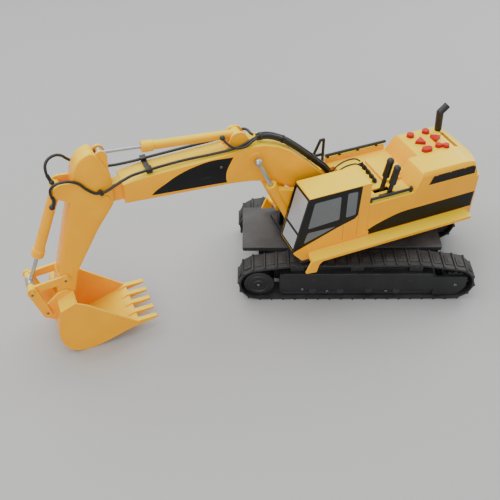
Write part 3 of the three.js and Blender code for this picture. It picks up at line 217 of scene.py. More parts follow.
def turned_ball(bm, centre, radius):
    bmesh.ops.create_uvsphere(bm, u_segments=20, v_segments=12, radius=radius, matrix=Matrix.Translation(centre))


def block(bm, centre, size, turn=None, bevel=0.0):
    """A box with its edges rounded by bevel."""
    matrix = Matrix.Translation(centre) @ (turn or Matrix.Identity(3)).to_4x4() @ Matrix.Diagonal((*size, 1))
    made = bmesh.ops.create_cube(bm, size=1.0, matrix=matrix)
    if bevel:
        edges = {edge for vert in made["verts"] for edge in vert.link_edges}
        bmesh.ops.bevel(bm, geom=list(edges), offset=bevel, segments=2, profile=0.5, affect="EDGES")


def plate(bm, outline, rise):
    """A thin plate from a flat outline of points, standing proud by the vector rise."""
    top = [bm.verts.new(point + rise) for point in outline]
    foot = [bm.verts.new(point) for point in outline]
    bm.faces.new(top)
    bm.faces.new(list(reversed(foot)))
    for i in range(len(outline)):
        k = (i + 1) % len(outline)
        bm.faces.new((top[i], foot[i], foot[k], top[k]))


# ------------------------------------------------------------------ laying things on the parts
def surface(names):
    """The CAD faces of the named parts, ready to be met by rays."""
    points, faces = [], []
    for name in names:
        mesh = frame["nodes"][name].data
        offset = len(points)
        points += [vertex.co.copy() for vertex in mesh.vertices]
        faces += [[offset + index for index in polygon.vertices] for polygon in mesh.polygons]
    return BVHTree.FromPolygons(points, faces)


def struck(skin, start, way):
    """Where a ray first meets the skin, and the way that face looks."""
    hit, normal, _, _ = skin.ray_cast(start - way * RAY_RUN_UP, way)
    if hit is None:
        return None, None
    return hit, -normal if normal.dot(way) > 0 else normal


def join(bm, other):
    """Adds the other bmesh to the first, and frees it."""
    mesh = bpy.data.meshes.new("joined")
    other.to_mesh(mesh)
    other.free()
    bm.from_mesh(mesh)
    bpy.data.meshes.remove(mesh)


def draped(outline, skin, way, rise):
    """A thin sheet with a flat outline, cast along way onto the skin. It is cut where the skin jumps."""
    bm = bmesh.new()
    bm.faces.new([bm.verts.new(point) for point in outline])
    for axis in range(3):
        if abs(way[axis]) > 0.9:
            continue
        low = min(point[axis] for point in outline)
        high = max(point[axis] for point in outline)
        plane = Vector([float(k == axis) for k in range(3)])
        count = max(1, round((high - low) / DRAPE_STEP))
        for i in range(1, count):
            cut = plane * (low + (high - low) * i / count)
            geometry = bm.verts[:] + bm.edges[:] + bm.faces[:]
            bmesh.ops.bisect_plane(bm, geom=geometry, plane_co=cut, plane_no=plane, dist=1e-7)
    missed = []
    for vertex in bm.verts:
        hit, normal = struck(skin, vertex.co.copy(), way)
        if hit is None:
            missed.append(vertex)
        else:
            vertex.co = hit - way * rise
    bmesh.ops.delete(bm, geom=missed, context="VERTS")
    torn = []
    for face in bm.faces:
        depths = [vertex.co.dot(way) for vertex in face.verts]
        spans = [(vertex.co - face.verts[0].co).length for vertex in face.verts]
        if max(depths) - min(depths) > max(DRAPE_JUMP, 1.2 * max(spans) - rise):
            torn.append(face)
    bmesh.ops.delete(bm, geom=torn, context="FACES")
    bmesh.ops.recalc_face_normals(bm, faces=bm.faces)
    if bm.faces and sum(face.normal.dot(way) * face.calc_area() for face in bm.faces) > 0:
        bmesh.ops.reverse_faces(bm, faces=bm.faces)
    lower = bmesh.ops.duplicate(bm, geom=bm.verts[:] + bm.edges[:] + bm.faces[:])
    fresh = [item for item in lower["geom"] if isinstance(item, bmesh.types.BMVert)]
    for vertex in fresh:
        vertex.co += way * rise * 0.9
    turned = [item for item in lower["geom"] if isinstance(item, bmesh.types.BMFace)]
    twins = lower["vert_map"]
    rims = [edge for edge in bm.edges if len(edge.link_faces) == 1 and edge.verts[0] not in fresh]
    for edge in rims:
        face = edge.link_faces[0]
        a, b = edge.verts
        order = [loop.vert for loop in face.loops]
        if order[(order.index(a) + 1) % len(order)] != b:
            a, b = b, a
        bm.faces.new((b, a, twins[a], twins[b]))
    bmesh.ops.reverse_faces(bm, faces=turned)
    return bm


# ------------------------------------------------------------------ shader groups
def new_group(name, inputs, outputs):
    tree = bpy.data.node_groups.new(name, "ShaderNodeTree")
    for label, value in inputs:
        socket = tree.interface.new_socket(name=label, in_out="INPUT", socket_type="NodeSocketFloat")
        socket.default_value = value
    for label in outputs:
        tree.interface.new_socket(name=label, in_out="OUTPUT", socket_type="NodeSocketFloat")
    return tree, tree.nodes.new("NodeGroupInput"), tree.nodes.new("NodeGroupOutput")


def node(tree, kind, **settings):
    made = tree.nodes.new(kind)
    for key, value in settings.items():
        setattr(made, key, value)
    return made


def sums(tree, operation, first, second, clamp=False):
    """A Math node. Each of first and second is a socket or a number."""
    made = node(tree, "ShaderNodeMath", operation=operation, use_clamp=clamp)
    for socket, value in zip(made.inputs, (first, second)):
        if isinstance(value, (int, float)):
            socket.default_value = value
        else:
            tree.links.new(value, socket)
    return made.outputs[0]


def spread(tree, value, low, high, to_low=0.0, to_high=1.0):
    """A clamped Map Range."""
    made = node(tree, "ShaderNodeMapRange", clamp=True)
    tree.links.new(value, made.inputs["Value"])
    for label, number in (("From Min", low), ("From Max", high), ("To Min", to_low), ("To Max", to_high)):
        made.inputs[label].default_value = number
    return made.outputs["Result"]


def noise(tree, scale, detail=3.0, roughness=0.5, place=None):
    made = node(tree, "ShaderNodeTexNoise")
    source = place or node(tree, "ShaderNodeTexCoord").outputs["Object"]
    tree.links.new(source, made.inputs["Vector"])
    if isinstance(scale, (int, float)):
        made.inputs["Scale"].default_value = scale
    else:
        tree.links.new(scale, made.inputs["Scale"])
    made.inputs["Detail"].default_value = detail
    made.inputs["Roughness"].default_value = roughness
    return made.outputs["Fac"]


def dust_and_top_light_group():
    """Dust that lies on upward faces, in soft patches with fine specks. Its Upward output also sets where the painted
    light on upward faces goes.
    """
    tree, given, out = new_group(
        "Settled Dust And Top Light", [("Amount", 0.5), ("Patch Scale", 24.0), ("Speck Scale", 420.0)], ["Mask", "Upward"]
    )
    facing = node(tree, "ShaderNodeNewGeometry")
    parts = node(tree, "ShaderNodeSeparateXYZ")
    tree.links.new(facing.outputs["Normal"], parts.inputs[0])
    upward = spread(tree, parts.outputs["Z"], 0.3, 0.96)
    patches = spread(tree, noise(tree, given.outputs["Patch Scale"], 4.0, 0.6), 0.34, 0.66, 0.35, 1.0)
    specks = spread(tree, noise(tree, given.outputs["Speck Scale"], 2.0, 0.6), 0.4, 0.7, 0.75, 1.0)
    mask = sums(tree, "MULTIPLY", sums(tree, "MULTIPLY", patches, specks), upward)
    tree.links.new(sums(tree, "MULTIPLY", mask, given.outputs["Amount"], True), out.inputs["Mask"])
    tree.links.new(upward, out.inputs["Upward"])
    return tree


def moulded_grain_group():
    """The skin of a moulded part: fine grain, slow waves from cooling, and faint colour change."""
    tree, given, out = new_group(
        "Moulded Skin", [("Grain Scale", 2200.0), ("Wave Scale", 36.0), ("Grain", 0.5)], ["Height", "Variation"]
    )
    fine = noise(tree, given.outputs["Grain Scale"], 2.0, 0.5)
    slow = noise(tree, given.outputs["Wave Scale"], 2.0, 0.4)
    tree.links.new(
        sums(tree, "ADD", sums(tree, "MULTIPLY", fine, given.outputs["Grain"]), sums(tree, "MULTIPLY", slow, 0.9)),
        out.inputs["Height"],
    )
    tree.links.new(spread(tree, slow, 0.3, 0.7), out.inputs["Variation"])
    return tree


def scuff_group():
    """Short rubbed marks, thin and sparse, running mostly along X."""
    tree, given, out = new_group("Scuffs", [("Scale", 90.0), ("Amount", 0.3)], ["Mask"])
    mapping = node(tree, "ShaderNodeMapping")
    tree.links.new(node(tree, "ShaderNodeTexCoord").outputs["Object"], mapping.inputs["Vector"])
    mapping.inputs["Rotation"].default_value = (0.3, 0.4, 0.7)
    mapping.inputs["Scale"].default_value = (0.22, 2.4, 2.4)
    marks = spread(tree, noise(tree, given.outputs["Scale"], 5.0, 0.62, mapping.outputs[0]), 0.64, 0.7)
    where = spread(tree, noise(tree, 17.0, 2.0, 0.5), 0.5, 0.62)
    tree.links.new(
        sums(tree, "MULTIPLY", sums(tree, "MULTIPLY", marks, where), given.outputs["Amount"]), out.inputs["Mask"]
    )
    return tree


def placed(tree, group, **values):
    made = node(tree, "ShaderNodeGroup", node_tree=bpy.data.node_groups[group])
    for label, value in values.items():
        made.inputs[label.replace("_", " ")].default_value = value
    return made


def blended(tree, factor, first, second):
    """A colour mix. first and second are colours or sockets."""
    mix = node(tree, "ShaderNodeMix", data_type="RGBA")
    tree.links.new(factor, mix.inputs["Factor"])
    for socket, value in zip([s for s in mix.inputs if s.type == "RGBA"], (first, second)):
        if isinstance(value, (tuple, list)):
            socket.default_value = (*value[:3], 1.0)
        else:
            tree.links.new(value, socket)
    return next(s for s in mix.outputs if s.type == "RGBA")


def finish_material(name, colour, other, top=None, roughness=0.35, rough_change=0.08, grain=0.5, grain_scale=2200.0,
                    bump=0.12, dust=0.3, dust_colour=None, scuffs=0.2, scuff_colour=None, metallic=0.0,
                    coat=0.0, patch=24.0, specular=0.5):
    """A moulded, dusty finish. other is the colour that colour drifts to; top, when given, is painted light: a
    lighter colour laid on upward faces for the light falling on the tops.
    """
    dust_colour = dust_colour or tuple(bpy.context.scene.excavator_colours.dust)
    material = bpy.data.materials.new(name)
    material.use_nodes = True
    tree = material.node_tree
    shader = tree.nodes["Principled BSDF"]
    shader.inputs["Metallic"].default_value = metallic
    shader.inputs["Coat Weight"].default_value = coat
    shader.inputs["Specular IOR Level"].default_value = specular
    shader.inputs["Coat Roughness"].default_value = 0.12
    skin = placed(tree, "Moulded Skin", Grain_Scale=grain_scale, Wave_Scale=36.0, Grain=grain)
    dust_and_top_light = placed(tree, "Settled Dust And Top Light", Amount=dust, Patch_Scale=patch, Speck_Scale=420.0)
    marks = placed(tree, "Scuffs", Scale=90.0, Amount=scuffs)
    paint = blended(tree, skin.outputs["Variation"], colour, other)
    # painted light: upward faces take the lighter top colour, standing in for the light on the tops
    if top:
        paint = blended(tree, dust_and_top_light.outputs["Upward"], paint, top)
    paint = blended(tree, marks.outputs["Mask"], paint, scuff_colour or dust_colour)
    paint = blended(tree, dust_and_top_light.outputs["Mask"], paint, dust_colour)
    tree.links.new(paint, shader.inputs["Base Color"])
    half = rough_change / 2
    level = spread(tree, skin.outputs["Variation"], 0.0, 1.0, roughness - half, roughness + half)
    level = sums(tree, "ADD", level, sums(tree, "MULTIPLY", dust_and_top_light.outputs["Mask"], 0.45), True)
    tree.links.new(level, shader.inputs["Roughness"])
    relief = node(tree, "ShaderNodeBump")
    relief.inputs["Strength"].default_value = bump
    relief.inputs["Distance"].default_value = 0.0004
    tree.links.new(skin.outputs["Height"], relief.inputs["Height"])
    tree.links.new(relief.outputs["Normal"], shader.inputs["Normal"])
    return material


def make_materials(looks):
    """Every finish of the toy, keyed by the material slot it belongs to."""
    dust_and_top_light_group()
    moulded_grain_group()
    scuff_group()
    return {
        # painted light: the yellow plastic is lighter on upward faces than on upright ones
        "yellow_plastic": finish_material(
            "Yellow Plastic", tuple(looks.yellow), tuple(looks.yellow_deep), top=tuple(looks.yellow_painted_light_top),
            roughness=0.3, grain=0.25, bump=0.06, dust=0.1, dust_colour=(1.0, 0.8, 0.25), scuffs=0.2,
            scuff_colour=(1.0, 0.6, 0.06), specular=0.26),
        "black_plastic": finish_material(
            "Black Plastic", (0.006, 0.006, 0.0065), (0.011, 0.011, 0.0115), roughness=0.42, rough_change=0.12,
            grain=1.0, grain_scale=1500.0, bump=0.2, dust=0.26, scuffs=0.2),
        "dusty_plastic": finish_material(
            "Dusty Deck Plastic", (0.016, 0.016, 0.017), (0.028, 0.028, 0.03), roughness=0.46, rough_change=0.15,
            grain=1.2, grain_scale=1300.0, bump=0.22, dust=0.6, scuffs=0.6, patch=30.0),
        "track_rubber": finish_material(
            "Track Rubber", (0.008, 0.008, 0.0085), (0.015, 0.015, 0.0155), roughness=0.55, rough_change=0.14,
            grain=1.2, grain_scale=1700.0, bump=0.3, dust=0.3, scuffs=0.3, patch=60.0),
        "hose_rubber": finish_material(
            "Hose Rubber", (0.008, 0.008, 0.008), (0.014, 0.014, 0.014), roughness=0.38, grain=0.6, bump=0.1,
            dust=0.3, scuffs=0.15, patch=80.0),
        "window_film": finish_material(
            "Window Surround", (0.006, 0.006, 0.0065), (0.01, 0.01, 0.011), roughness=0.4, grain=0.1, bump=0.03,
            dust=0.12, scuffs=0.1, specular=0.25),
        "window_pane": finish_material(
            "Window Pane", tuple(looks.pane), tuple(c * 0.9 for c in looks.pane), roughness=0.3, grain=0.3,
            bump=0.03, dust=0.2, scuffs=0.3, coat=0.1, metallic=0.2),
        "front_pane": finish_material(
            "Front Pane", tuple(looks.front_pane), tuple(c * 0.92 for c in looks.front_pane), roughness=0.3,
            grain=0.3, bump=0.03, dust=0.15, scuffs=0.3, coat=0.1, metallic=0.1),
        "decal_black": finish_material(
            "Black Decal", (0.006, 0.006, 0.006), (0.01, 0.01, 0.01), roughness=0.42, grain=0.1, bump=0.03,
            dust=0.12, scuffs=0.2, specular=0.2),
        # painted light: the red is lighter on upward faces (its top colour) for the light on the tops
        "red_plastic": finish_material(
            "Red Plastic", (0.42, 0.002, 0.006), (0.5, 0.004, 0.009), top=(0.52, 0.008, 0.013), roughness=0.36,
            grain=0.4, bump=0.06, dust=0.05, dust_colour=(0.7, 0.2, 0.17), scuffs=0.1, specular=0.25),
        "plated_rod": finish_material(
            "Plated Rod", (0.5, 0.51, 0.52), (0.42, 0.43, 0.45), roughness=0.24, rough_change=0.1, grain=0.2,
            bump=0.04, dust=0.15, dust_colour=(0.7, 0.68, 0.62), scuffs=0.3, metallic=0.85),
        "circuit_board": finish_material(
            "Circuit Board", (0.02, 0.13, 0.05), (0.03, 0.18, 0.07), roughness=0.4, dust=0.1),
        "screw_steel": finish_material(
            "Screw Steel", (0.22, 0.22, 0.225), (0.15, 0.15, 0.155), roughness=0.36, rough_change=0.15, grain=0.3,
            dust=0.3, scuffs=0.4, metallic=0.9),
        # painted shade: a darker yellow for the shadow in the door groove
        "seam_shadow": finish_material(
            "Door Groove Shade", (0.5, 0.19, 0.004), (0.56, 0.22, 0.006), roughness=0.5, dust=0.1,
            dust_colour=(0.9, 0.7, 0.3)),
    }


MATERIALS = {}


# ------------------------------------------------------------------ carried-over parts
def dressed(name, bevel=0.0, crease=32):
    """A smooth-shaded copy of a CAD part, with its edges softened, that stands for the part."""
    source = frame["nodes"][name]
    slot = next(part["material_slot"] for part in frame["record"]["subparts"] if part["node"] == name)
    look = MATERIALS[slot]
    repaint(name, look)
    bm = bmesh.new()
    bm.from_mesh(source.data)
    bmesh.ops.remove_doubles(bm, verts=bm.verts, dist=2e-6)
    bmesh.ops.dissolve_limit(bm, angle_limit=radians(0.6), verts=bm.verts, edges=bm.edges)
    shade(bm, crease)
    mesh = bpy.data.meshes.new(name + "_finish")
    bm.to_mesh(mesh)
    bm.free()
    piece = add_piece(name + "_finish", mesh, look, source["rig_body"])
    if bevel:
        soften = piece.modifiers.new("Soft edges", "BEVEL")
        soften.width = bevel * MM
        soften.segments = 2
        soften.limit_method = "ANGLE"
        soften.angle_limit = radians(34)
        soften.use_clamp_overlap = True
        soften.harden_normals = True
    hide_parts(name)
    return piece


# ------------------------------------------------------------------ geometry nodes
def geometry_tree(name, inputs):
    """A geometry node tree with a mesh in and out, and the named number inputs."""
    tree = bpy.data.node_groups.new(name, "GeometryNodeTree")
    tree.interface.new_socket(name="Geometry", in_out="INPUT", socket_type="NodeSocketGeometry")
    sockets = {}
    for label, kind, value in inputs:
        socket = tree.interface.new_socket(name=label, in_out="INPUT", socket_type=kind)
        if value is not None:
            socket.default_value = value
        sockets[label] = socket.identifier
    tree.interface.new_socket(name="Geometry", in_out="OUTPUT", socket_type="NodeSocketGeometry")
    return tree, tree.nodes.new("NodeGroupInput"), tree.nodes.new("NodeGroupOutput"), sockets


def placed_along_tree():
    """Sets a shape on each point, turned to the point's facing and heading, at a given size."""
    tree, given, out, sockets = geometry_tree(
        "Shapes On Points",
        [
            ("Shape", "NodeSocketObject", None),
            ("Size", "NodeSocketFloat", 1.0),
            ("Finish", "NodeSocketMaterial", None),
        ],
    )
    points = node(tree, "GeometryNodeInstanceOnPoints")
    info = node(tree, "GeometryNodeObjectInfo", transform_space="ORIGINAL")
    facing = node(tree, "GeometryNodeInputNamedAttribute", data_type="FLOAT_VECTOR")
    facing.inputs["Name"].default_value = "facing"
    heading = node(tree, "GeometryNodeInputNamedAttribute", data_type="FLOAT_VECTOR")
    heading.inputs["Name"].default_value = "heading"
    first = node(tree, "FunctionNodeAlignRotationToVector", axis="Z")
    second = node(tree, "FunctionNodeAlignRotationToVector", axis="X", pivot_axis="Z")
    realize = node(tree, "GeometryNodeRealizeInstances")
    finish = node(tree, "GeometryNodeSetMaterial")
    links = tree.links.new
    links(given.outputs["Geometry"], points.inputs["Points"])
    links(given.outputs["Shape"], info.inputs["Object"])
    links(info.outputs["Geometry"], points.inputs["Instance"])
    links(facing.outputs["Attribute"], first.inputs["Vector"])
    links(first.outputs["Rotation"], second.inputs["Rotation"])
    links(heading.outputs["Attribute"], second.inputs["Vector"])
    links(second.outputs["Rotation"], points.inputs["Rotation"])
    links(given.outputs["Size"], points.inputs["Scale"])
    links(points.outputs["Instances"], realize.inputs["Geometry"])
    links(realize.outputs["Geometry"], finish.inputs["Geometry"])
    links(given.outputs["Finish"], finish.inputs["Material"])
    links(finish.outputs["Geometry"], out.inputs["Geometry"])
    return tree, sockets


def scatter(name, places, shape_mesh, size, material, body):
    """One mesh of a shape set on many places. Each place is (point, facing, heading)."""
    if "Shapes On Points" not in bpy.data.node_groups:
        placed_along_tree()
    tree = bpy.data.node_groups["Shapes On Points"]
    sockets = {item.name: item.identifier for item in tree.interface.items_tree if item.in_out == "INPUT"}
    points = bpy.data.meshes.new(name + "_points")
    points.from_pydata([tuple(place[0]) for place in places], [], [])
    for label, index in (("facing", 1), ("heading", 2)):
        attribute = points.attributes.new(label, "FLOAT_VECTOR", "POINT")
        attribute.data.foreach_set("vector", [c for place in places for c in place[index]])
    shape = bpy.data.objects.new(name + "_shape", shape_mesh)
    carrier = bpy.data.objects.new(name + "_carrier", points)
    for made in (shape, carrier):
        bpy.context.scene.collection.objects.link(made)
    modifier = carrier.modifiers.new("Shapes", "NODES")
    modifier.node_group = tree
    modifier[sockets["Shape"]] = shape
    modifier[sockets["Size"]] = size
    modifier[sockets["Finish"]] = material
    bpy.context.view_layer.update()
    evaluated = carrier.evaluated_get(bpy.context.evaluated_depsgraph_get())
    mesh = bpy.data.meshes.new_from_object(evaluated)
    carrier.modifiers.remove(modifier)
    if not mesh.polygons:
        raise RuntimeError(name + ": the node tree made no faces")
    mesh.name = name
    for made in (carrier, shape):
        bpy.data.objects.remove(made)
    return add_piece(name, mesh, material, body)


def screw_shape():
    """A pan head with a cross recess, 1 m across, facing +Z: it is set at its real size."""
    bm = bmesh.new()
    sides = 16
    levels = [(0.5, 0.0), (0.5, 0.1), (0.44, 0.2), (0.34, 0.25)]
    sections = [
        [Vector((r * cos(2 * pi * (i + 0.5) / sides), r * sin(2 * pi * (i + 0.5) / sides), z)) for i in range(sides)]
        for r, z in levels
    ]
    made = [[bm.verts.new(point) for point in section] for section in sections]
    for lower, upper in zip(made, made[1:]):
        for i in range(sides):
            k = (i + 1) % sides
            bm.faces.new((lower[i], lower[k], upper[k], upper[i]))
    arm, half = 0.27, 0.07
    cross = [(arm, -half), (arm, half), (half, half), (half, arm), (-half, arm), (-half, half), (-arm, half),
             (-arm, -half), (-half, -half), (-half, -arm), (half, -arm), (half, -half)]
    rim = [bm.verts.new((x, y, 0.25)) for x, y in cross]
    floor = [bm.verts.new((x * 0.8, y * 0.8, 0.1)) for x, y in cross]
    for i in range(12):
        k = (i + 1) % 12
        bm.faces.new((rim[k], rim[i], floor[i], floor[k]))
    bm.faces.new(floor)
    outer = made[-1]
    rim_edges = [bm.edges.get((rim[i], rim[(i + 1) % 12])) for i in range(12)]
    outer_edges = [bm.edges.get((outer[i], outer[(i + 1) % sides])) for i in range(sides)]
    bmesh.ops.bridge_loops(bm, edges=rim_edges + outer_edges)
    bm.faces.new(list(reversed(made[0])))
    return finished(bm, "screw_shape", 40)


# ------------------------------------------------------------------ settings
def colour_setting(name, description, default):
    return bpy.props.FloatVectorProperty(
        name=name, description=description, default=default, subtype="COLOR", size=3, min=0.0, max=1.0)


def size_setting(name, description, default):
    return bpy.props.FloatProperty(name=name, description=description, default=default, unit="LENGTH", min=0.00005)


class ExcavatorColours(bpy.types.PropertyGroup):
    yellow: colour_setting("Yellow", "Body plastic on upright faces", (1.0, 0.44, 0.0))
    yellow_deep: colour_setting("Deep yellow", "What the body plastic drifts to", (0.97, 0.39, 0.0))
    # painted light: a lighter yellow for upward faces, standing in for the light on the tops; upright faces keep the
    # yellow above
    yellow_painted_light_top: colour_setting("Painted light top yellow", "Painted light: a lighter yellow on upward faces", (0.98, 0.66, 0.0))
    pane: colour_setting("Side pane", "Printed silver-grey side panes", (0.145, 0.152, 0.156))
    front_pane: colour_setting("Front pane", "Printed silver-grey windscreen panes", (0.4, 0.41, 0.415))
    dust: colour_setting("Dust", "Workshop dust on the black parts", (0.13, 0.126, 0.118))


class ExcavatorSizes(bpy.types.PropertyGroup):
    hose_radius: size_setting("Hose radius", "Outside radius of the arm hoses", 0.0017)
    thin_hose_radius: size_setting("Thin hose radius", "Outside radius of the hoses behind the cab", 0.0011)
    screw_head: size_setting("Screw head", "Diameter of the assembly screws' heads", 0.0046)
    small_screw_head: size_setting("Small screw head", "Diameter of the linkage screws' heads", 0.0034)
    decal_rise: size_setting("Decal thickness", "How far a decal stands off the plastic", 0.00018)
    edge_radius: size_setting("Edge radius", "Rounding of the moulded edges", 0.0006)


# ------------------------------------------------------------------ operators
class EXCAVATOR_OT_stage(bpy.types.Operator):
    """Adds the camera, a plain pale floor and soft studio light"""

    bl_idname = "excavator.stage"
    bl_label = "Stage"

    def execute(self, context):
        camera_data = bpy.data.cameras.new("studio_camera")
        camera_data.sensor_width = 36.0
        camera_data.lens = 50.4
        camera_data.clip_start = 0.01
        camera = bpy.data.objects.new("studio_camera", camera_data)
        camera.location = (-0.2808, -0.6362, 0.693)
        camera.rotation_euler = (radians(48.0196), radians(0.2379), radians(-22.294))
        context.scene.collection.objects.link(camera)
        context.scene.camera = camera
        self.floor(context)
        self.light(context, "sky_panel", (-0.35, 0.55, 1.7), (0.05, 0.0, 0.05), 2.2, 2.2, 38.0)
        self.light(context, "front_fill", (-0.9, -1.4, 0.9), (0.0, 0.0, 0.1), 1.4, 1.0, 12.0)
        self.light(context, "rear_strip", (1.3, 0.5, 0.8), (0.1, 0.0, 0.1), 1.0, 0.5, 8.0)
        world = bpy.data.worlds.new("studio_world")
        world.use_nodes = True
        world.node_tree.nodes["Background"].inputs["Color"].default_value = (0.93, 0.96, 1.0, 1.0)
        world.node_tree.nodes["Background"].inputs["Strength"].default_value = 0.78
        context.scene.world = world
        return {"FINISHED"}

    def floor(self, context):
        bm = bmesh.new()
        bmesh.ops.create_grid(bm, x_segments=2, y_segments=2, size=4.0)
        mesh = bpy.data.meshes.new("studio_floor")
        bm.to_mesh(mesh)
        bm.free()
        material = bpy.data.materials.new("Studio Floor")
        material.use_nodes = True
        shader = material.node_tree.nodes["Principled BSDF"]
        shader.inputs["Base Color"].default_value = (0.42, 0.42, 0.406, 1.0)
        shader.inputs["Roughness"].default_value = 0.75
        mesh.materials.append(material)
        floor = bpy.data.objects.new("studio_floor", mesh)
        context.scene.collection.objects.link(floor)

    def light(self, context, name, place, target, width, height, power):
        data = bpy.data.lights.new(name, "AREA")
        data.shape = "RECTANGLE"
        data.size = width
        data.size_y = height
        data.energy = power
        lamp = bpy.data.objects.new(name, data)
        lamp.location = place
        lamp.rotation_euler = (Vector(target) - Vector(place)).to_track_quat("-Z", "Y").to_euler()
        context.scene.collection.objects.link(lamp)


class EXCAVATOR_OT_hoses(bpy.types.Operator):
    """Makes the two arm hoses that run on to the stick, with their ball ends and clips"""

    bl_idname = "excavator.hoses"
    bl_label = "Arm hoses"

    def execute(self, context):
        radius = context.scene.excavator_sizes.hose_radius
        left = [
            (-142.6, 11.6, 239.4), (-150, 8.6, 238.8), (-158, 6.6, 237.2), (-170, 6, 235.2), (-190, 8.5, 232.6),
            (-230, 11, 231.6), (-262, 10, 231), (-290.5, 6, 231.4), (-303.7, 3, 229.9), (-315.5, 2.8, 224.8),
            (-324.7, 4, 219.5), (-331, 5.2, 217.8), (-338.5, 5.7, 219), (-346.7, 5.8, 227), (-353.5, 5.8, 236),
            (-362, 5.8, 241.3), (-371.8, 5.8, 242.9), (-379.5, 6.4, 240.8), (-384.2, 7, 235.6), (-384.8, 7.5, 228.2),
            (-383, 8.2, 220.5), (-384.2, 9.2, 213.4),
        ]
        right = [
            (-142.6, 16.6, 240.6), (-145, 20.5, 241.8), (-146, 27, 242.4), (-150, 32.8, 241.2), (-162, 34.8, 237.2),
            (-180, 34.8, 233.8), (-230, 34.8, 232), (-264, 34.8, 230.8), (-290, 35, 229.6), (-315.5, 35, 231),
            (-338, 34.8, 238), (-355.5, 33.6, 251), (-363, 32, 259.5), (-370, 30, 262.8), (-377.5, 27, 262),
            (-382.4, 25, 256.5), (-383.5, 23, 248), (-382, 21.4, 241.5), (-380.6, 20.4, 237.4),
        ]
        for side, route in (("left", left), ("right", right)):
            bm = bmesh.new()
            line = spline([at(*point) for point in route], 5)
            sweep(bm, line, radius, 14)
            collar = line[-9:]
            sweep(bm, collar, [radius * 1.28] * len(collar), 14)
            piece = bpy.data.objects.new("arm_hose_" + side, finished(bm, "arm_hose_" + side))
            context.scene.collection.objects.link(piece)
            piece.data.materials.append(MATERIALS["hose_rubber"])
            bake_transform(piece)
            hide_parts("hose_" + side)
            repaint("hose_" + side, MATERIALS["hose_rubber"])
        self.hose_pack()
        self.cab_hoses(context)
        self.clips()
        return {"FINISHED"}

    def hose_pack(self):
        """The bundle of thick hoses down the back of the boom, held by three straps."""
        route = [(-140, 14, 238.4), (-128, 14, 238), (-116, 14, 233.5), (-103, 14, 225.5), (-90, 14, 214.5),
                 (-74, 14, 199.5), (-58, 14, 183.5), (-44, 14, 169), (-34, 14, 154)]
        line = spline([at(*point) for point in route], 6)
        ways = frames_along(line)
        bm = bmesh.new()
        for turn in (45, 135, 225, 315):
            strand = []
            for i, (point, (_, side, other)) in enumerate(zip(line, ways)):
                angle = radians(turn + 0.8 * i)
                strand.append(point + (side * cos(angle) + other * sin(angle)) * 2.55 * MM)
            sweep(bm, strand, 2.05 * MM, 10)
        for spot in (3, 17, 33):
            way = ways[spot][0]
            start = line[spot] - way * 1.6 * MM
            strap = ((0, 3.6), (0, 4.9), (3.2, 4.9), (3.2, 3.6))
            turned_shape(bm, start, way, [(reach * MM, r * MM) for reach, r in strap], 20)
        piece = add_piece("hose_pack", finished(bm, "hose_pack"), MATERIALS["hose_rubber"], "boom")
        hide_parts("boom_conduit")
        repaint("boom_conduit", MATERIALS["hose_rubber"])

    def cab_hoses(self, context):
        """The two thin hoses that arch over behind the cab and twist into the deck."""
        radius = context.scene.excavator_sizes.thin_hose_radius
        bm = bmesh.new()
        for lift, aside in ((0.0, 0.0), (-5.0, -4.5)):
            route = [(-44, aside, 160), (-42, aside, 168 + lift), (-35, 0.5 + aside, 176 + lift),
                     (-23, 1 + aside, 181 + lift), (-9, 1 + aside, 181 + lift), (-1, aside, 176 + lift)]
            sweep(bm, spline([at(*point) for point in route], 6), radius, 10)
        twist = ((-1, -2, 174), (4, -4, 167), (9, -6, 160), (14, -8, 153), (18, -10, 147), (19, -11, 143))
        spine = spline([at(*point) for point in twist], 7)
        ways = frames_along(spine)
        for turn in (0, 180):
            strand = []
            for i, (point, (_, side, other)) in enumerate(zip(spine, ways)):
                angle = radians(turn + 26 * i)
                strand.append(point + (side * cos(angle) + other * sin(angle)) * 1.7 * MM)
            sweep(bm, strand, 1.75 * MM, 10)
        ship(bm, "cab_hoses", "hose_rubber", "house")

    def clips(self):
        """The clamp on the boom's back and the clips that hold each hose."""
        bm = bmesh.new()
        slope = Matrix.Rotation(radians(-2), 3, "Y")
        block(bm, at(-273.3, 9.4, 231.2), (7 * MM, 8.5 * MM, 5.6 * MM), slope, 0.5 * MM)
        block(bm, at(-273.3, 34.3, 230.8), (7 * MM, 8 * MM, 5.6 * MM), slope, 0.5 * MM)
        block(bm, at(-273.3, 22, 229), (6.2 * MM, 24 * MM, 1.8 * MM), slope, 0.3 * MM)
        ship(bm, "boom_hose_clamp", "black_plastic", "boom")
        bm = bmesh.new()
        tilt = Matrix.Rotation(radians(-20), 3, "Y")
        block(bm, at(-331.5, 4.8, 218.4), (4.4 * MM, 4.6 * MM, 6.4 * MM), tilt, 0.5 * MM)
        for end, radius in (((-386.4, 11.4, 209.4), 3.4), ((-380.2, 19.6, 236.6), 3.0)):
            turned_ball(bm, at(*end), radius * MM)
        ship(bm, "stick_hose_ends", "hose_rubber", "stick")
        bm = bmesh.new()
        feed = [(-184, 9, 251), (-181, 5.5, 246), (-175, 2.4, 240.5), (-167, 1.6, 237.2), (-158, 2.4, 236.8),
                (-150, 5.5, 238.2), (-142, 9.4, 239.4)]
        sweep(bm, spline([at(*point) for point in feed], 6), 1.5 * MM, 12)
        turned_ball(bm, at(-184, 9, 251), 3.3 * MM)
        ship(bm, "barrel_feed_hoses", "hose_rubber", "boom")


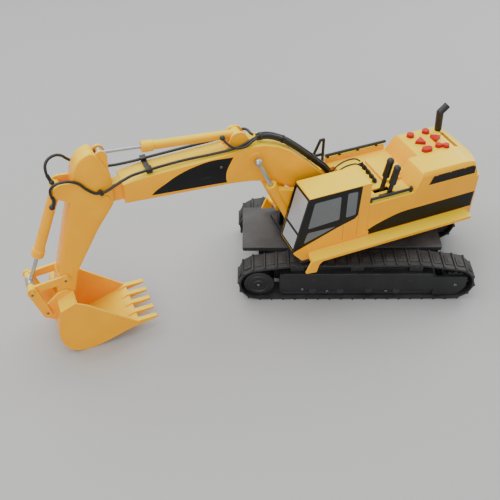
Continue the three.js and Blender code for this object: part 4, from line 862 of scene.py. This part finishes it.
class EXCAVATOR_OT_running_gear(bpy.types.Operator):
    """Finishes the undercarriage: frames, wheels, deck, belts, and the pads between the grousers"""

    bl_idname = "excavator.running_gear"
    bl_label = "Running gear"

    def execute(self, context):
        for name in ("chassis", "battery_box", "battery_cover", "deck_cover", "slew_ring"):
            dressed(name, 0.5)
        for side in ("left", "right"):
            dressed("side_frame_" + side, 0.4)
            dressed("idler_wheel_" + side, 0.4)
            dressed("sprocket_wheel_" + side, 0.3)
            dressed("track_belt_" + side, 0.0, 24)
            self.pads(side)
            self.frame_trim(side)
        return {"FINISHED"}

    def frame_trim(self, side):
        """The raised edges, hatch frame and roller bumps moulded on a track frame's outer face."""
        way = -1 if side == "left" else 1
        out = (on_track(0, way, 0) - on_track(0, 0, 0)).normalized()
        skin = surface(["side_frame_" + side])
        turn = Matrix.Rotation(TRACK_TURN, 3, "Z")
        bm = bmesh.new()
        strips = [
            ((-98, 45.2), (98, 46.6)), ((-100, 9.0), (100, 10.2)), ((23, 48.4), (64, 49.4)), ((23, 57.0), (64, 58.0)),
            ((23, 49.4), (24, 57.0)), ((63, 49.4), (64, 57.0)), ((43, 49.4), (44, 57.0)),
            ((-64, 48.4), (-34, 49.4)), ((-64, 57.0), (-34, 58.0)), ((-64, 49.4), (-63, 57.0)),
            ((-35, 49.4), (-34, 57.0)),
        ]
        for (x0, z0), (x1, z1) in strips:
            middle = ((x0 + x1) / 2, (z0 + z1) / 2)
            hit, _ = struck(skin, on_track(middle[0], way * 78, middle[1]), -out)
            if hit is not None:
                size = ((x1 - x0) * MM, 0.9 * MM, (z1 - z0) * MM)
                block(bm, hit, size, turn, 0.15 * MM)
        for x in (-58, -20, 18, 56):
            hit, _ = struck(skin, on_track(x, way * 78, 13), -out)
            if hit is not None:
                turned_shape(bm, hit - out * MM, out, [(0, 5.2 * MM), (1.6 * MM, 5.2 * MM), (2.2 * MM, 4.4 * MM)], 20)
        # the trim takes the lighter dusty deck finish so its ledges and bumps read lighter than the frame: real dust,
        # and painted highlight along the edges
        ship(bm, "frame_trim_" + side, "dusty_plastic", "undercarriage")

    def pads(self, side):
        """A raised pad with a small boss on each shoe, following the belt's loop."""
        end, axle, crown = TRACK_HALF, TRACK_END_RADIUS, CROWN
        radius = axle - GROUSER
        middle = -TRACK_MIDDLE if side == "left" else TRACK_MIDDLE
        slope = atan2(TRACK_HEIGHT - 2 * axle, end - crown)
        line = []
        for i in range(40):
            line.append((-end + 2 * end * i / 40, axle - radius))
        for i in range(17):
            angle = -pi / 2 + (pi - slope) * i / 16
            line.append((end + radius * cos(angle), axle + radius * sin(angle)))
        for i in range(27):
            line.append((crown - 2 * crown * i / 26, TRACK_HEIGHT - axle + radius))
        for i in range(17):
            angle = pi / 2 + slope + (pi - slope) * i / 16
            line.append((-end + radius * cos(angle), axle + radius * sin(angle)))
        self.along_loop(side, line, middle)

    def along_loop(self, side, line, middle):
        lengths = [0.0]
        closed = line + [line[0]]
        for a, b in zip(closed, closed[1:]):
            lengths.append(lengths[-1] + ((a[0] - b[0]) ** 2 + (a[1] - b[1]) ** 2) ** 0.5)
        total = lengths[-1]
        places = []
        for shoe in range(SHOE_COUNT):
            wanted = total * (shoe + 0.6) / SHOE_COUNT
            k = max(i for i in range(len(lengths) - 1) if lengths[i] <= wanted)
            share = (wanted - lengths[k]) / max(lengths[k + 1] - lengths[k], 1e-9)
            a, b = closed[k], closed[k + 1]
            x, z = a[0] + (b[0] - a[0]) * share, a[1] + (b[1] - a[1]) * share
            way = Vector((b[0] - a[0], b[1] - a[1])).normalized()
            point = on_track(x, middle, z)
            out = on_track(x + way.y, middle, z - way.x) - point
            along = on_track(x + way.x, middle, z + way.y) - point
            places.append((point, out.normalized(), along.normalized()))
        bm = bmesh.new()
        block(bm, Vector((0, 0, 0.2)), (10.6, 17.0, 1.0), None, 0.25)
        block(bm, Vector((0, 0, 0.7)), (3.4, 6.4, 1.0), None, 0.2)
        shape = finished(bm, "pad_shape")
        scatter("shoe_pads_" + side, places, shape, MM, MATERIALS["track_rubber"], "undercarriage")


class EXCAVATOR_OT_house(bpy.types.Operator):
    """Finishes the turning house: floor, shell, walkways, hood, rails, stack and speaker"""

    bl_idname = "excavator.house"
    bl_label = "House"

    def execute(self, context):
        edge = context.scene.excavator_sizes.edge_radius / MM
        for name in ("house_shell", "engine_hood", "walkway_left", "walkway_right"):
            dressed(name, edge)
        for name in ("house_floor", "exhaust_pipe", "switch_board", "speaker"):
            dressed(name, 0.3)
        for name in ("hand_rail_left", "hand_rail_right", "grab_frame"):
            dressed(name, 0.0, 50)
        return {"FINISHED"}


class EXCAVATOR_OT_cab(bpy.types.Operator):
    """Finishes the cab and lays the grey panes on its black window films"""

    bl_idname = "excavator.cab"
    bl_label = "Cab"

    def execute(self, context):
        edge = context.scene.excavator_sizes.edge_radius / MM
        dressed("cab_shell", edge)
        for name in ("cab_window_left", "cab_window_right", "cab_windscreen"):
            dressed(name, 0.0)
        rise = context.scene.excavator_sizes.decal_rise
        film = [(-97.3, 178.2), (-25, 178.2), (-27, 134), (-31, 129), (-55, 122), (-107, 103), (-116.6, 99.2)]
        panes = [
            [(-90, 170.5), (-54, 170.5), (-54, 134.5), (-97.5, 132.5)],
            [(-97.5, 126), (-58, 124.5), (-80, 117), (-102.5, 110)],
            [(-45, 172.5), (-31, 171.5), (-31, 135.5), (-45, 134.5)],
        ]
        for side, y, way in (("left", CAB_LEFT, -1), ("right", CAB_RIGHT, 1)):
            sheets = [("cab_film_", "window_film", [film], rise), ("cab_panes_", "window_pane", panes, rise * 2)]
            for name, look, outlines, height in sheets:
                bm = bmesh.new()
                for outline in outlines:
                    line = outline if look == "window_film" else rounded(outline, 1.6)
                    plate(bm, [at(x, y, z) for x, z in line], Vector((0, way * height, 0)))
                ship(bm, name + side, look, "house")
        self.front(rise)
        self.door_line(rise)
        return {"FINISHED"}

    def front(self, rise):
        """The film round the windscreen, with a visor band along the top, and its two panes."""
        wall = (at(-117, 0, 97), at(-97, 0, 179))
        glass = (at(-115.31, 0, 99.82), at(-96.97, 0, 175.02))
        strips = [(-51.15, -49.2, 0.0, 0.985), (-13.2, -11.25, 0.0, 0.985), (-49.4, -13.0, 0.95, 0.985),
                  (-49.4, -13.0, 0.0, 0.038)]
        panes = [(-47.0, -15.4, 0.035, 0.305), (-47.0, -15.4, 0.36, 0.975)]
        for name, look, plane, shapes in (("cab_film_front", "window_film", wall, strips),
                                          ("cab_panes_front", "front_pane", glass, panes)):
            low, high = plane
            up = (high - low).normalized()
            out = Vector((-up.z, 0, up.x)) * rise
            bm = bmesh.new()
            for y0, y1, start, stop in shapes:
                a, b = low.lerp(high, start), low.lerp(high, stop)
                corners = ((a, y0), (a, y1), (b, y1), (b, y0))
                plate(bm, [Vector((base.x, y * MM, base.z)) for base, y in corners], out)
            ship(bm, name, look, "house")

    def door_line(self, rise):
        """The thin parting line of the door below the side film, drawn as painted shade: a darker yellow strip
        standing in for the shadow in the groove.
        """
        skin = surface(["cab_shell"])
        bm = bmesh.new()
        for outline in ([(-47.3, 97.5), (-46.6, 97.5), (-46.6, 122), (-47.3, 122)],
                        [(-26.6, 97.5), (-25.9, 97.5), (-25.9, 134), (-26.6, 134)]):
            corners = [at(x, -70, z) for x, z in outline]
            join(bm, draped(corners, skin, Vector((0, 1, 0)), rise * 0.5))
        ship(bm, "cab_door_line", "seam_shadow", "house")


def rounded(points, radius, steps=4):
    """A flat outline with its corners rounded. Points are pairs in mm."""
    line = []
    count = len(points)
    for i, corner in enumerate(points):
        here = Vector(corner)
        before = Vector(points[i - 1]) - here
        after = Vector(points[(i + 1) % count]) - here
        reach = min(radius * 1.6, before.length / 2.1, after.length / 2.1)
        a, b = here + before.normalized() * reach, here + after.normalized() * reach
        for step in range(steps + 1):
            t = step / steps
            line.append(tuple((1 - t) ** 2 * a + 2 * t * (1 - t) * here + t * t * b))
    return line


class EXCAVATOR_OT_controls(bpy.types.Operator):
    """Finishes the push buttons and the two levers"""

    bl_idname = "excavator.controls"
    bl_label = "Controls"

    def execute(self, context):
        for name in ("button_round_front", "button_round_rear", "button_triangle_front", "button_triangle_rear",
                     "button_oval", "button_dumbbell"):
            dressed(name, 0.7, 50)
        for name in ("lever_inner", "lever_outer"):
            dressed(name, 0.4)
        return {"FINISHED"}


class EXCAVATOR_OT_arm(bpy.types.Operator):
    """Finishes the boom, stick, bucket, linkage and cylinders"""

    bl_idname = "excavator.arm"
    bl_label = "Digging arm"

    def execute(self, context):
        edge = context.scene.excavator_sizes.edge_radius / MM
        for name in ("boom_left_half", "boom_right_half", "stick_left_half", "stick_right_half"):
            dressed(name, 0.35)
        for name in ("bucket", "idler_link", "bucket_link_left", "bucket_link_right", "stick_pin"):
            dressed(name, edge)
        for name in ("boom_cylinder_barrel_left", "boom_cylinder_barrel_right", "stick_cylinder_barrel",
                     "bucket_cylinder_barrel"):
            dressed(name, 0.3, 50)
        for name in ("boom_foot_pin", "boom_cylinder_rod_left", "boom_cylinder_rod_right", "stick_cylinder_rod",
                     "bucket_cylinder_rod"):
            dressed(name, 0.25, 50)
        return {"FINISHED"}


class EXCAVATOR_OT_markings(bpy.types.Operator):
    """Lays the plain black swooshes and the vent stripe on the yellow plastic"""

    bl_idname = "excavator.markings"
    bl_label = "Markings"

    def execute(self, context):
        low = [(156.4, 95), (-23, 95)]
        rim = [(-23, 95), (-10, 103), (0.7, 108), (15, 112.6), (30, 116.5), (44, 118.4), (70, 118.6)]
        curve = smooth_pairs(rim, 5)
        swoosh = low + curve[1:] + [(154.2, 119.2)]
        house = ["house_shell"]
        stripe = [(75, 150.4), (148.4, 150.4), (143.4, 163.9), (128.6, 163.8), (128, 162.6), (126.6, 162.5),
                  (126, 163.8), (106.6, 163.6), (106, 162.5), (104.6, 162.4), (104, 163.6), (86.6, 163.4),
                  (86, 162.2), (84.6, 162.1), (84, 163.3), (80.6, 163)]
        top = smooth_pairs([(-275, 199), (-270, 203.4), (-264, 207), (-258, 210), (-246, 216.5), (-233, 221.5),
                            (-221, 224.5), (-208, 226.6), (-196, 227), (-173, 225)], 4)
        under = smooth_pairs([(-173, 225), (-178, 216), (-182, 207), (-183, 198), (-182, 191.4)], 4)
        boom = top + under[1:] + [(-198, 193)]
        for side, way in (("left", 1), ("right", -1)):
            arm = ["boom_left_half"] if way > 0 else ["boom_right_half"]
            self.lay(context, "house_swoosh_" + side, swoosh, way, house, "house")
            self.lay(context, "vent_stripe_" + side, stripe, way, ["engine_hood", "house_shell"], "house")
            self.lay(context, "boom_swoosh_" + side, boom, way, arm, "boom")
        return {"FINISHED"}

    def lay(self, context, name, outline, way, parts, body):
        """Casts a flat outline sideways onto the named parts."""
        rise = context.scene.excavator_sizes.decal_rise
        corners = [at(x, -way * 90, z) for x, z in outline]
        bm = draped(corners, surface(parts), Vector((0, way, 0)), rise)
        ship(bm, name, "decal_black", body)


def smooth_pairs(pairs, steps):
    """A smooth flat line through pairs of mm."""
    return [(p.x, p.y) for p in spline([Vector((x, z, 0)) for x, z in pairs], steps)]


class EXCAVATOR_OT_screws(bpy.types.Operator):
    """Sets the cross-head screws in the track frames, boom and linkage"""

    bl_idname = "excavator.screws"
    bl_label = "Screws"

    def execute(self, context):
        sizes = context.scene.excavator_sizes
        low = ((-131.7, 25), (133.7, 25.5), (-38, 12), (42, 12), (-72, 17.7), (-80, 58), (-1, 58), (78, 58))
        for side, way in (("left", -1), ("right", 1)):
            out = (on_track(0, way, 0) - on_track(0, 0, 0)).normalized()
            skin = surface(["side_frame_" + side, "idler_wheel_" + side, "sprocket_wheel_" + side])
            starts = [on_track(x, way * 80, z) for x, z in low]
            self.drive("frame_screws_" + side, starts, -out, skin, sizes.screw_head, "undercarriage")
        sets = (
            ("boom", ["boom_left_half", "boom_right_half"],
             ((-188.6, 215.1),)),
            ("idler", ["idler_link"], ((-391.7, 104.4), (-433, 99))),
            ("bucket_link", ["bucket_link_left", "bucket_link_right"], ((-433, 99), (-421.5, 62.3))),
        )
        for label, parts, spots in sets:
            skin = surface(parts)
            body = frame["nodes"][parts[0]]["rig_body"]
            for side, way in (("left", 1), ("right", -1)):
                starts = [at(x, ARM_Y - way * 60, z) for x, z in spots]
                self.drive(label + "_screws_" + side, starts, Vector((0, way, 0)), skin, sizes.small_screw_head, body)
        return {"FINISHED"}

    def drive(self, name, starts, way, skin, size, body):
        """Sets a screw where a line from each start meets a face that looks back at it."""
        places = []
        for i, start in enumerate(starts):
            hit, normal = struck(skin, start, way)
            if hit is not None and normal.dot(way) < -0.97:
                places.append((hit, normal, Vector((0.3, 0.2, 0.9 - 0.5 * (i % 3))).normalized()))
        if places:
            scatter(name, places, screw_shape(), size, MATERIALS["screw_steel"], body)


# ------------------------------------------------------------------ panel
BUILD_ORDER = ("stage", "hoses", "running_gear", "house", "cab", "controls", "arm", "markings", "screws")


class EXCAVATOR_PT_panel(bpy.types.Panel):
    """Lists the toy's finishing steps and their settings"""

    bl_label = "Toy Excavator"
    bl_idname = "EXCAVATOR_PT_panel"
    bl_space_type = "VIEW_3D"
    bl_region_type = "UI"
    bl_category = "Excavator"

    def draw(self, context):
        for step in BUILD_ORDER:
            self.layout.operator("excavator." + step)
        for group in (context.scene.excavator_colours, context.scene.excavator_sizes):
            box = self.layout.box()
            for label in group.__annotations__:
                box.prop(group, label)


CLASSES = (
    ExcavatorColours, ExcavatorSizes, EXCAVATOR_OT_stage, EXCAVATOR_OT_hoses, EXCAVATOR_OT_running_gear,
    EXCAVATOR_OT_house, EXCAVATOR_OT_cab, EXCAVATOR_OT_controls, EXCAVATOR_OT_arm, EXCAVATOR_OT_markings,
    EXCAVATOR_OT_screws, EXCAVATOR_PT_panel,
)


def register():
    for cls in CLASSES:
        bpy.utils.register_class(cls)
    bpy.types.Scene.excavator_colours = bpy.props.PointerProperty(type=ExcavatorColours)
    bpy.types.Scene.excavator_sizes = bpy.props.PointerProperty(type=ExcavatorSizes)


def unregister():
    del bpy.types.Scene.excavator_sizes
    del bpy.types.Scene.excavator_colours
    for cls in reversed(CLASSES):
        bpy.utils.unregister_class(cls)


def main():
    register()
    MATERIALS.update(make_materials(bpy.context.scene.excavator_colours))
    for step in BUILD_ORDER:
        getattr(bpy.ops.excavator, step)()


if __name__ == "__main__":
    main()
